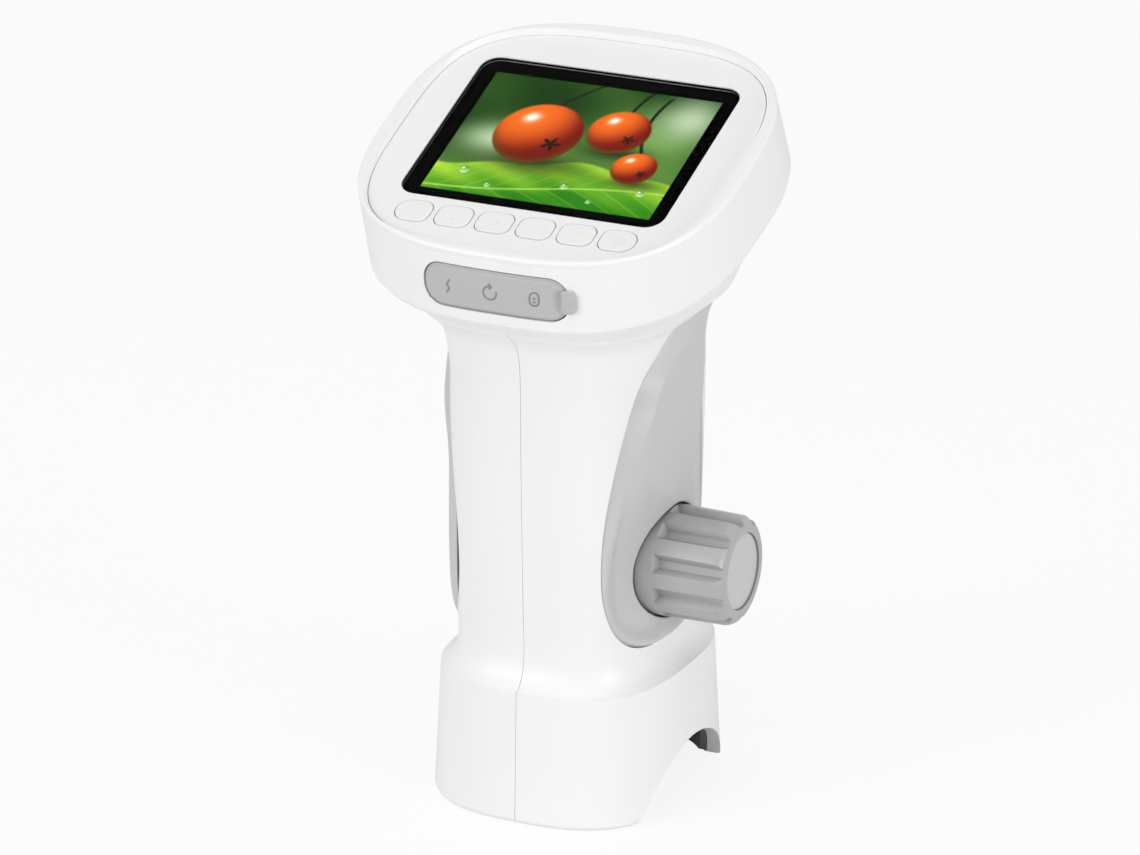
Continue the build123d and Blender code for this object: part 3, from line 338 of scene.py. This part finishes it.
# port flap: a stepped rubber plate that follows the wall, with a finger tab
flap = {"origin": (0.0, -31.063, 94.5), "up": (0.0, -0.12085, 0.99267), "half": (32.4, 31.2), "power": 2.78,
        "size": (25.3, 7.2), "radius": 3.2, "depth": 1.0, "base": -0.1, "proud": 0.3, "step": 0.4,
        "corner": 0.04, "rim": 0.5, "backRound": 0.15, "baseRound": 0.12, "topRound": 0.2,
        "rings": (0.8, 1.4, 2.2, 3.0)}
tab = {"size": (2.3, 4.0), "shift": 13.0, "radii": (1.8, 0.3, 0.3, 1.8), "low": 0.1, "high": 0.75,
       "rim": 0.5, "lowRound": 0.12, "highRound": 0.2, "rings": (0.4, 0.8, 1.3)}
crease = {"at": 11.3, "half": 0.7, "deep": 0.6}     # where the tab bends up from the flap


def onFlap(x, y, h):
    # point over the head's wall at the flap: the wall bows as y = b (1 - |x/a|^n)^(1/n)
    x, y, h = np.broadcast_arrays(np.asarray(x, float), y, h)
    up = np.array(flap["up"])
    out = np.array([0, -up[2], up[1]])
    a, b = flap["half"]
    bow = b * (1 - np.abs(x / a) ** flap["power"]) ** (1 / flap["power"]) - b
    return (np.array(flap["origin"]) + x[..., None] * np.array([1.0, 0, 0]) + y[..., None] * up
            + (bow + h)[..., None] * out)


def onSkin(x, y, h):
    # the same, with a valley across the flap's upper side: its depth goes as (1 - u^2)^2 over the half width
    # and as 1 - v^6 along the tab's height
    u = np.clip((x - crease["at"]) / crease["half"], -1, 1)
    v = np.clip(y / (tab["size"][1] / 2), -1, 1)
    valley = crease["deep"] * (1 - u * u) ** 2 * (1 - v ** 6) * np.clip(h / flap["proud"], 0, 1)
    return onFlap(x, y, h - valley)


middle = flap["size"][1] / 2
profile = ([(middle, -flap["depth"]), (flap["rim"], -flap["depth"])]
           + roundOver(0, -flap["depth"], flap["backRound"], -1) + roundOver(0, flap["base"], flap["baseRound"])
           + [(flap["step"] - flap["corner"], flap["base"])]
           + roundOver(flap["step"], flap["proud"], flap["topRound"])
           + [(inset, flap["proud"]) for inset in (*flap["rings"], middle)])
skin = plate(*flap["size"], [flap["radius"]] * 4, profile, onSkin)
middle = tab["size"][1] / 2
profile = ([(middle, tab["low"]), (tab["rim"], tab["low"])] + roundOver(0, tab["low"], tab["lowRound"], -1)
           + roundOver(0, tab["high"], tab["highRound"])
           + [(inset, tab["high"]) for inset in (*tab["rings"], middle)])
grip = plate(*tab["size"], tab["radii"], profile, onFlap, tab["shift"])
flapObject = meshFrom("portFlap", [skin, grip])
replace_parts(placePiece(flapObject, flapRubber, "port_cover"), "port_cover")
print("pane and port flap done")

# side panels: leaves whose flank melts into their flat face, and a dish round the knob
panel = {"flareFrom": 55.0, "thick": 0.45, "edgeRound": 0.35, "crisp": 0.15, "soft": 5.0, "softRim": 3.0,
         "softBetween": (70.0, 57.0), "knob": (0.0, 41.2), "holeRound": 0.3, "dishRadius": 30.0,
         "dishCentre": (43.6, -18.0, 40.2), "dishSoft": 4.5, "dishRim": 4.0, "fromHole": 0.5, "fromEdge": 0.3,
         "rays": 360, "facePoints": 300, "flankRings": 15, "faceRings": 37}
# which side, height of the flat face, radius of its flare, knob hole, and whether it has the long tip
panelSides = {
    "right": {"side": 1, "faceX": 17.7, "flareRadius": 112.0, "hole": 9.7, "tip": True},
    "left": {"side": -1, "faceX": 18.3, "flareRadius": 160.0, "hole": 0.0, "tip": False},
}
neck = {"halfWidth": 17.6, "bow": 1.6e-4, "power": 3.4, "flareFrom": 77.0, "flareRadius": 10.15,
        "short": 0.2, "proud": 0.2, "slope": 0.7, "between": (71.0, 77.0)}
# outlines as (y, z): the edge up to the tip, the tips of both sides, and the flat face within the flank
lowEdge = [
    (-13.4, 73.6), (-15.6, 68), (-17.3, 60.5), (-18.3, 52), (-18.4, 44), (-17.6, 37), (-15.3, 32),
    (-10.5, 29.2), (-4, 28.4), (3, 28.5), (9, 30.2), (12.6, 35), (13.6, 42), (13.3, 52), (12.3, 62), (10.9, 71),
]
shortTip = [(9.2, 79), (6.0, 83.2), (1.0, 82.9), (-5.5, 80.6), (-10.4, 77.3)]
longTip = [(9.0, 79), (6.2, 84.4), (2.2, 86.3), (-1.8, 85.0), (-6.3, 81.0), (-10.5, 77.4)]
panelFace = [
    (11, 50), (10.5, 60), (9.8, 68), (8.6, 76), (5.8, 81.4), (1.6, 81.8), (-4.5, 79.9),
    (-9.2, 76.6), (-11.4, 72), (-12.8, 66), (-13.6, 58), (-13.9, 50), (-13.9, 43), (-13.4, 37.5),
    (-11.6, 33), (-8.4, 30.1), (-4, 29), (3, 29.1), (8, 31), (10.6, 35.6), (11.2, 42),
]


def closedSpline(points, count):
    # the smooth closed cubic through the points: its second derivatives solve one cyclic linear system
    p = np.array(points, float)
    h = np.linalg.norm(np.roll(p, -1, 0) - p, axis=1)[:, None]
    back, size = np.roll(h, 1, 0), len(p)
    slope = (np.roll(p, -1, 0) - p) / h
    i = np.arange(size)
    system = np.zeros((size, size))
    system[i, i] = (2 * (back + h))[:, 0]
    system[i, (i - 1) % size] = back[:, 0]
    system[i, (i + 1) % size] = h[:, 0]
    bend = np.linalg.solve(system, 6 * (slope - np.roll(slope, 1, 0)))
    start = np.concatenate([[0], np.cumsum(h)])
    at = np.linspace(0, start[-1], count, endpoint=False)
    k = np.clip(np.searchsorted(start, at, side="right") - 1, 0, size - 1)
    n, hk, u = (k + 1) % size, h[k], (at - start[k])[:, None]
    return (bend[k] * (hk - u) ** 3 / (6 * hk) + bend[n] * u ** 3 / (6 * hk)
            + (p[k] / hk - bend[k] * hk / 6) * (hk - u) + (p[n] / hk - bend[n] * hk / 6) * u)


def distanceToLoop(y, z, loop):
    # least distance from each point to the loop's straight pieces
    a, b = loop, np.roll(loop, -1, 0)
    run = b - a
    py, pz = y.ravel()[:, None] - a[:, 0], z.ravel()[:, None] - a[:, 1]
    share = np.clip((py * run[:, 0] + pz * run[:, 1]) / (run ** 2).sum(1), 0, 1)
    return np.hypot(py - share * run[:, 0], pz - share * run[:, 1]).min(1).reshape(y.shape)


def softMin(a, b, width):
    # the lesser of two heights, with the edge between them rounded over the width
    return np.minimum(a, b) - np.maximum(width - np.abs(a - b), 0) ** 2 / (4 * width)


def neckWall(y, z):
    # the neck bows as c |y|^n and flares under the head by r - sqrt(r^2 - (z - z0)^2), a little short of r
    n = neck
    up = np.clip(z - n["flareFrom"], 0, n["flareRadius"] - n["short"])
    return (n["halfWidth"] - n["bow"] * np.abs(y) ** n["power"]
            + n["flareRadius"] - np.sqrt(n["flareRadius"] ** 2 - up ** 2))


def panelGrid(sideValues):
    # rays from the knob's centre; height is the least of flat face, 45 degree flank and dish, softly joined;
    # under the head the flank starts on the neck's wall instead, and the leaf's tip follows its flare
    c, hole, faceX, flareSize = panel, sideValues["hole"], sideValues["faceX"], 2 * sideValues["flareRadius"]
    edge = closedSpline(lowEdge + (longTip if sideValues["tip"] else shortTip), c["rays"])
    face = closedSpline(panelFace, c["facePoints"])
    centre = np.array(c["knob"])
    away = edge - centre
    reach = np.linalg.norm(away, axis=1)
    ray = away / reach[:, None]
    faceAngle = np.arctan2(*(face - centre).T[::-1])
    order = np.argsort(faceAngle)
    faceReach = np.interp(np.arctan2(ray[:, 1], ray[:, 0]), faceAngle[order],
                          np.linalg.norm(face - centre, axis=1)[order], period=2 * pi)
    flare = np.maximum(centre[1] + faceReach * ray[:, 1] - c["flareFrom"], 0) ** 2 / flareSize
    bend = np.clip(faceReach - flare, hole + c["fromHole"], reach - c["fromEdge"])
    near = (1 - np.cos(np.linspace(0, pi, c["flankRings"]))) / 2
    far = (1 - np.cos(np.linspace(0, pi, c["faceRings"])[1:])) / 2
    r = np.concatenate([reach + (bend - reach) * near[:, None], bend + (hole - bend) * far[:, None]])
    y, z = centre[0] + r * ray[:, 0], centre[1] + r * ray[:, 1]
    outside = distanceToLoop(y, z, face) * np.sign(r - faceReach)
    rim = distanceToLoop(y, z, edge)
    flat = faceX + np.maximum(z - c["flareFrom"], 0) ** 2 / flareSize
    share = ease(*c["softBetween"], z) * ease(0, c["softRim"], rim)
    flank = faceX - outside
    if sideValues["tip"]:
        rising = neckWall(y, z) + neck["proud"] + neck["slope"] * rim
        flank = flank + ease(*neck["between"], z) * np.maximum(rising - flank, 0)
    x = softMin(flat, flank, c["crisp"] + c["soft"] * share)
    if hole:
        dx, dy, dz = c["dishCentre"]
        inside = c["dishRadius"] ** 2 - (y - dy) ** 2 - (z - dz) ** 2
        dish = np.where(inside > 0, dx - np.sqrt(np.maximum(inside, 0)), dx)
        x = softMin(x, dish, c["crisp"] + c["dishSoft"] * ease(0, c["dishRim"], rim))
    turn = 1 - np.clip(rim / c["edgeRound"], 0, 1)
    front = x - c["edgeRound"] * (1 - np.sqrt(1 - turn ** 2))
    if hole:
        turn = 1 - np.clip((r - hole) / c["holeRound"], 0, 1)
        front = front - c["holeRound"] * (1 - np.sqrt(1 - turn ** 2))
    back = front - c["thick"]
    grid = np.stack([sideValues["side"] * np.concatenate([front, back[::-1]]), np.concatenate([y, y[::-1]]),
                     np.concatenate([z, z[::-1]])], -1)
    return grid.reshape(-1, 3), gridQuads(*grid.shape[:2], closeU=True, closeV=True)


def makePanels():
    for side, values in panelSides.items():
        obj = meshFrom("gripPanel_" + side, [panelGrid(values)])
        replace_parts(placePiece(obj, greyAbs, "housing"), "side_panel_" + side)


makePanels()
print("panels done")


# the picture on the display: a flat panel whose face carries a fine grid of colours
screen = {"active": (40.8, 30.6), "panel": (44.4, 34.2), "top": -1.02, "thick": 2.3, "step": 0.15,
          "light": 1.0, "slack": 0.01}
# berries as x, y, radius and lean of the stem; dew drops as x, y and radius
berries = [(-6.8, 1.6, 7.6, 0.55), (6.4, 4.6, 5.4, 0.1), (12.6, -3.6, 3.9, -0.5)]
dewDrops = [(-15, -9.5, 0.9), (-9.6, -12.4, 0.6), (3.2, -10.2, 0.75), (8.6, -13, 0.5), (16.2, -9.3, 0.8)]


def mix(first, second, share):
    # first + (second - first) times the share
    return first + (np.asarray(second) - first) * np.asarray(share)[..., None]


def bell(x, y, width, height):
    # exp(-(x/width)^2 - (y/height)^2)
    return np.exp(-((x / width) ** 2 + (y / height) ** 2))


def pictureColour(x, y):
    # sRGB colours over the display in millimetres: blurred greens from slow sine waves, a bright leaf with
    # ribs across the foot, and three orange berries on stems, each shaded as a lit ball
    wave = (np.sin(0.16 * x + 0.09 * y + 0.6) + np.sin(-0.11 * x + 0.24 * y + 2.1)
            + np.sin(0.23 * x + 0.19 * y + 4.0)) / 3
    share = np.clip(0.40 + 0.42 * wave - 0.020 * y + 0.004 * x, 0, 1)
    rgb = mix(np.array([0.07, 0.22, 0.03]), np.array([0.55, 0.76, 0.36]), share)
    glow = bell(x + 13, y + 1, 7, 4) + bell(x - 17, y - 10, 6, 6)
    rgb = mix(rgb, [0.86, 0.93, 0.80], np.clip(0.8 * glow, 0, 1))
    # the leaf, darker away from its edge, with a long rib and slanted side ribs
    edge = -6.2 + 1.8 * np.sin(0.13 * x + 0.9) + 0.5 * np.sin(0.41 * x)
    depth = np.clip((edge - y) / 9, 0, 1)
    green = mix(np.array([0.66, 0.86, 0.22]), [0.16, 0.50, 0.05],
                np.clip(depth + 0.12 * np.sin(0.5 * x + 1.1 * y), 0, 1))
    rib = np.abs(y - (-11.5 + 0.13 * x + 0.6 * np.sin(0.15 * x)))
    side = np.abs(((x - 1.5 * rib) / 4.6 + 0.5) % 1 - 0.5) * 4.6
    ribShare = 0.75 * bell(rib, 0, 0.22, 1) + 0.35 * bell(side, 0, 0.16, 1) * (rib > 0.2)
    green = mix(green, [0.80, 0.93, 0.45], ribShare)
    rgb = mix(rgb, green, ease(0.35, -0.35, y - edge))
    for cx, cy, r, lean in berries:
        t = y - cy - 0.8 * r
        stem = np.abs(x - cx - lean * t - 0.03 * t * t)
        rgb = mix(rgb, [0.08, 0.10, 0.04], ease(0.42, 0.2, stem) * ease(-0.2, 0.2, t) * ease(16, 14, t))
        rgb = rgb * (1 - 0.6 * bell(x - cx - 0.3 * r, y - cy + 0.95 * r, 1.1 * r, 0.35 * r)[..., None])
    for cx, cy, r, lean in berries:
        px, py = (x - cx) / r, (y - cy) / r
        away = np.hypot(px, py)
        pz = np.sqrt(np.clip(1 - away ** 2, 0, 1))
        lit = np.clip(-0.42 * px + 0.62 * py + 0.66 * pz, 0, 1)
        ball = mix(np.array([0.45, 0.07, 0.01]), [0.95, 0.42, 0.10], ease(0.0, 0.95, lit))
        ball = mix(ball, [0.30, 0.42, 0.06], 0.5 * ease(0.75, 1.0, away) * ease(0.3, -0.6, py))
        shine = np.clip(-0.36 * px + 0.50 * py + 0.79 * pz, 0, 1) ** 60
        ball = mix(ball, [1.0, 0.97, 0.93], np.clip(1.1 * shine, 0, 1))
        qx, qy = px - 0.42, py + 0.28      # dark dry calyx, a five-pointed star
        star = np.hypot(qx, qy) - 0.13 - 0.09 * np.cos(5 * np.arctan2(qy, qx))
        ball = mix(ball, [0.07, 0.05, 0.05], ease(0.04, -0.02, star))
        rgb = mix(rgb, ball, ease(1.02, 0.97, away))
    for cx, cy, r in dewDrops:
        px, py = (x - cx) / r, (y - cy) / r
        drop = mix(np.array([0.25, 0.55, 0.10]), [0.92, 0.98, 0.80], np.clip(0.5 - 0.5 * py, 0, 1))
        drop = mix(drop, [1.0, 1.0, 1.0], ease(0.35, 0.2, np.hypot(px + 0.35, py - 0.4)))
        rgb = mix(rgb, drop, 0.85 * ease(1.05, 0.9, np.hypot(px, py)))
    return np.clip(rgb, 0, 1)


def lineOfPoints(half, reach, step):
    # from -reach to reach: even steps over the picture, one wider step at each edge
    inner = np.linspace(-half, half, int(round(2 * half / step)) + 1)
    return np.concatenate([[-reach], inner, [reach]])


def makePicture(s):
    # front face a grid over the panel, back face the same outline, and a wall between their rims
    xs = lineOfPoints(s["active"][0] / 2, s["panel"][0] / 2, s["step"])
    ys = lineOfPoints(s["active"][1] / 2, s["panel"][1] / 2, s["step"])
    gx, gy = np.meshgrid(xs, ys)
    rows, columns = gx.shape
    front = onHead(gx, gy, s["top"]).reshape(-1, 3)
    quads = gridQuads(rows, columns)
    index = np.arange(rows * columns).reshape(rows, columns)
    rim = np.concatenate([index[0, :-1], index[:-1, -1], index[-1, :0:-1], index[:0:-1, 0]])
    rimX, rimY = gx.ravel()[rim], gy.ravel()[rim]
    back = onHead(rimX, rimY, s["top"] - s["thick"])
    centre = onHead(0.0, 0.0, s["top"] - s["thick"])[None]
    start = len(front)
    low = start + np.arange(len(rim))
    after = np.roll(np.arange(len(rim)), -1)
    wall = np.stack([rim, rim[after], low[after], low], -1)
    flat = np.stack([low, low[after], np.full(len(rim), start + len(rim))], -1)
    triangles = np.concatenate([
        quads[:, [0, 1, 2]], quads[:, [0, 2, 3]], wall[:, [0, 1, 2]], wall[:, [0, 2, 3]], flat])
    points = np.concatenate([front, back, centre])
    obj = meshFrom("displayPicture", [(points, triangles)], smooth=False, weld=False)
    pointOutward(obj.data)
    colours = np.zeros((len(obj.data.vertices), 4))
    colours[:, 3] = 1
    inside = ((np.abs(gx) <= s["active"][0] / 2 + s["slack"])
              & (np.abs(gy) <= s["active"][1] / 2 + s["slack"]))
    shown = toLinear(pictureColour(gx, gy)) * inside[..., None]
    colours[:start, :3] = shown.reshape(-1, 3)
    layer = obj.data.color_attributes.new("shownColour", "FLOAT_COLOR", "POINT")
    layer.data.foreach_set("color", colours.ravel())
    return obj


def pictureMaterial(strength):
    # lit liquid-crystal panel: near black polariser film, its colours glow from behind
    material, tree, shader, place = startMaterial("litDisplayFilm")
    shown = addNode(tree, "ShaderNodeVertexColor", layer_name="shownColour").outputs["Color"]
    shader.inputs["Emission Strength"].default_value = strength
    tree.links.new(shown, shader.inputs["Emission Color"])
    dim = addNode(tree, "ShaderNodeMix", {0: 0.06, 6: linearColour("050505"), 7: shown}, data_type="RGBA")
    tree.links.new(dim.outputs[2], shader.inputs["Base Color"])
    filmGrainAndPaintedShade = addNode(tree, "ShaderNodeTexNoise", {"Vector": place, "Scale": 1 / (0.2 * mm)})
    rough = addNode(tree, "ShaderNodeMapRange", {"Value": filmGrainAndPaintedShade.outputs["Fac"], "To Min": 0.45, "To Max": 0.6})
    tree.links.new(rough.outputs["Result"], shader.inputs["Roughness"])
    shader.inputs["Specular IOR Level"].default_value = 0.05
    return material


picture = placePiece(makePicture(screen), pictureMaterial(screen["light"]), "housing")
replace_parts(picture, "lcd_display")
print("display done")


# symbols are rounded beads that lie on the keys and on the port flap
def cutCorners(points, closed, rounds=3):
    # each edge keeps its points at a quarter and three quarters, so corners turn into short curves
    p = np.asarray(points, float)
    for _ in range(rounds):
        a, b = (p, np.roll(p, -1, 0)) if closed else (p[:-1], p[1:])
        cut = np.stack([0.75 * a + 0.25 * b, 0.25 * a + 0.75 * b], 1).reshape(-1, 2)
        p = cut if closed else np.concatenate([p[:1], cut, p[-1:]])
    return p


def bead(points, surface, width, rise, closed=False):
    # a path on a surface with an elliptical section, width wide and rise high above the surface;
    # the section shrinks as sqrt(1 - t^2) over its last half width, so open ends are round
    p = cutCorners(points, closed)
    run = np.roll(p, -1, 0) - np.roll(p, 1, 0) if closed else np.gradient(p, axis=0)
    run /= np.linalg.norm(run, axis=1)[:, None]
    side = np.stack([run[:, 1], -run[:, 0]], 1)
    size = np.ones(len(p))
    if not closed:
        reach = np.concatenate([[0], np.cumsum(np.linalg.norm(np.diff(p, axis=0), axis=1))])
        extra = np.linspace(0, width / 2, 6)
        reach = np.sort(np.unique(np.concatenate([reach, extra, reach[-1] - extra])))
        old = np.concatenate([[0], np.cumsum(np.linalg.norm(np.diff(p, axis=0), axis=1))])
        p = np.stack([np.interp(reach, old, p[:, k]) for k in (0, 1)], 1)
        side = np.stack([np.interp(reach, old, side[:, k]) for k in (0, 1)], 1)
        end = np.minimum(reach, reach[-1] - reach)
        size = np.sqrt(np.clip(1 - (1 - np.clip(2 * end / width, 0, 1)) ** 2, 0, 1))
    angle = np.linspace(0, 2 * pi, 12, endpoint=False)
    x = p[:, :1] + side[:, :1] * size[:, None] * width / 2 * np.cos(angle)
    y = p[:, 1:] + side[:, 1:] * size[:, None] * width / 2 * np.cos(angle)
    grid = surface(x, y, size[:, None] * rise * np.sin(angle))
    return grid.reshape(-1, 3), gridQuads(*x.shape, closeU=closed, closeV=True)


def arc(radius, start, end, centre=(0, 0), count=24):
    # centre + radius times (cos, sin) of angles from start to end in degrees
    angle = np.radians(np.linspace(start, end, count))
    return np.stack([centre[0] + radius * np.cos(angle), centre[1] + radius * np.sin(angle)], 1)


keys = {"pitch": 7.25, "row": -22.15, "top": 0.15, "width": 0.3, "rise": 0.05}
keySymbols = {      # key: its bead paths, each with whether it is closed
    "power_key": [(arc(0.95, 125, 415), False), ([(0, 0.35), (0, 1.35)], False)],
    "menu_key": [([(-0.95, y), (0.95, y)], False) for y in (0.75, 0, -0.75)],
    "up_key": [([(0, 0.95), (1.05, -0.75), (-1.05, -0.75)], True)],
    "down_key": [([(0, -0.95), (-1.05, 0.75), (1.05, 0.75)], True)],
    "playback_key": [([(-0.75, 1.0), (1.1, 0), (-0.75, -1.0)], True)],
    "capture_key": [([(-1.25, -0.85), (1.25, -0.85), (1.25, 0.85), (-1.25, 0.85)], True),
                    (arc(0.45, 0, 345), True)],
}


def onKey(index):
    # the key's top: its centre lies (index - 2.5) pitches from the middle of the row
    shift = (index - 2.5) * keys["pitch"]
    return lambda x, y, h: onHead(x + shift, y + keys["row"], h + keys["top"])


for index, (keyName, paths) in enumerate(keySymbols.items()):
    parts = [bead(path, onKey(index), keys["width"], keys["rise"], closed) for path, closed in paths]
    placePiece(meshFrom(keyName + "_symbol", parts), keyAbs, keyName)

flapMarks = {"width": 0.34, "rise": 0.07}
flapPaths = [       # a bolt for power, a turning arrow for reset, a card with its contacts
    ([(-7.75, 1.25), (-8.5, 0.05), (-7.75, -0.05), (-8.45, -1.25)], False),
    (arc(1.15, 70, 380, (-0.6, 0)), False), ([(-0.75, 1.65), (-0.15, 1.1), (-0.8, 0.6)], False),
    ([(6.35, -1.15), (7.95, -1.15), (7.95, 1.15), (6.95, 1.15), (6.35, 0.6)], True),
    ([(6.85, -0.5), (7.45, -0.5)], False), ([(6.85, 0.1), (7.45, 0.1)], False),
]


def onTop(x, y, h):
    return onFlap(x, y, h + flap["proud"])


parts = [bead(path, onTop, flapMarks["width"], flapMarks["rise"], closed) for path, closed in flapPaths]
placePiece(meshFrom("port_cover_symbols", parts), symbolInk, "port_cover")
print("symbols done")


stage = {"half": 3000, "speck": 40.0, "colours": ("F4F4F4", "F8F8F8"), "roughness": 0.9, "mirror": 0.1,
         "whiteShare": 0.88, "skyLight": 0.45, "skySeen": 1.0}
lamps = [       # place and target in millimetres, size in metres, power in watts
    {"name": "frontLight", "place": (-600, -950, 450), "target": (0, 0, 70), "size": 0.6, "power": 4.1},
    {"name": "topLight", "place": (0, -300, 1100), "target": (0, 0, 80), "size": 0.8, "power": 2.8},
    {"name": "sideLight", "place": (1050, -300, 260), "target": (0, 0, 60), "size": 0.5, "power": 4.0},
]


def makeStage(s):
    # pale matt floor; what the camera sees of it is mostly plain white, with the object's soft shadow left in
    material, tree, shader, place = startMaterial("paleFloor")
    speck = addNode(tree, "ShaderNodeTexNoise", {"Vector": place, "Scale": s["speck"]})
    first, second = map(linearColour, s["colours"])
    tint = addNode(tree, "ShaderNodeMix", {0: speck.outputs["Fac"], 6: first, 7: second}, data_type="RGBA")
    tree.links.new(tint.outputs[2], shader.inputs["Base Color"])
    shader.inputs["Roughness"].default_value = s["roughness"]
    shader.inputs["Specular IOR Level"].default_value = s["mirror"]
    seen = addNode(tree, "ShaderNodeLightPath").outputs["Is Camera Ray"]
    share = addNode(tree, "ShaderNodeMath", {0: seen, 1: s["whiteShare"]}, operation="MULTIPLY")
    white = addNode(tree, "ShaderNodeEmission", {"Color": (1, 1, 1, 1), "Strength": 1.0})
    both = addNode(tree, "ShaderNodeMixShader", {
        0: share.outputs[0], 1: shader.outputs["BSDF"], 2: white.outputs[0]})
    tree.links.new(both.outputs[0], tree.nodes["Material Output"].inputs["Surface"])
    half = s["half"]
    corners = np.array([[-half, -half, 0], [half, -half, 0], [half, half, 0], [-half, half, 0]])
    floor = meshFrom("floor", [(corners, np.array([[0, 1, 2, 3]]))], smooth=False, weld=False)
    floor.data.materials.append(material)


def makeWorld(strength, seen):
    # the world lights the object softly; camera, glossy and transmitted rays see it plain white
    world = bpy.data.worlds.new("studio")
    scene.world = world
    world.use_nodes = True
    tree = world.node_tree
    tree.nodes.clear()
    path = addNode(tree, "ShaderNodeLightPath").outputs
    anyRay = addNode(tree, "ShaderNodeMath", {
        0: path["Is Camera Ray"], 1: path["Is Glossy Ray"]}, operation="MAXIMUM")
    anyRay = addNode(tree, "ShaderNodeMath", {
        0: anyRay.outputs[0], 1: path["Is Transmission Ray"]}, operation="MAXIMUM")
    level = addNode(tree, "ShaderNodeMix", {0: anyRay.outputs[0], 2: strength, 3: seen})
    sky = addNode(tree, "ShaderNodeBackground", {"Color": (1, 1, 1, 1), "Strength": level.outputs[0]})
    addNode(tree, "ShaderNodeOutputWorld", {"Surface": sky.outputs[0]})


def areaLight(name, place, target, size, power):
    data = bpy.data.lights.new(name, "AREA")
    data.shape, data.size, data.energy = "DISK", size, power
    obj = bpy.data.objects.new(name, data)
    place, target = Vector(place) * mm, Vector(target) * mm
    obj.location = place
    obj.rotation_euler = (target - place).to_track_quat("-Z", "Y").to_euler()
    scene.collection.objects.link(obj)


makeStage(stage)
makeWorld(stage["skyLight"], stage["skySeen"])
for lamp in lamps:
    areaLight(**lamp)
scene.view_settings.view_transform = "Standard"
print("stage done")
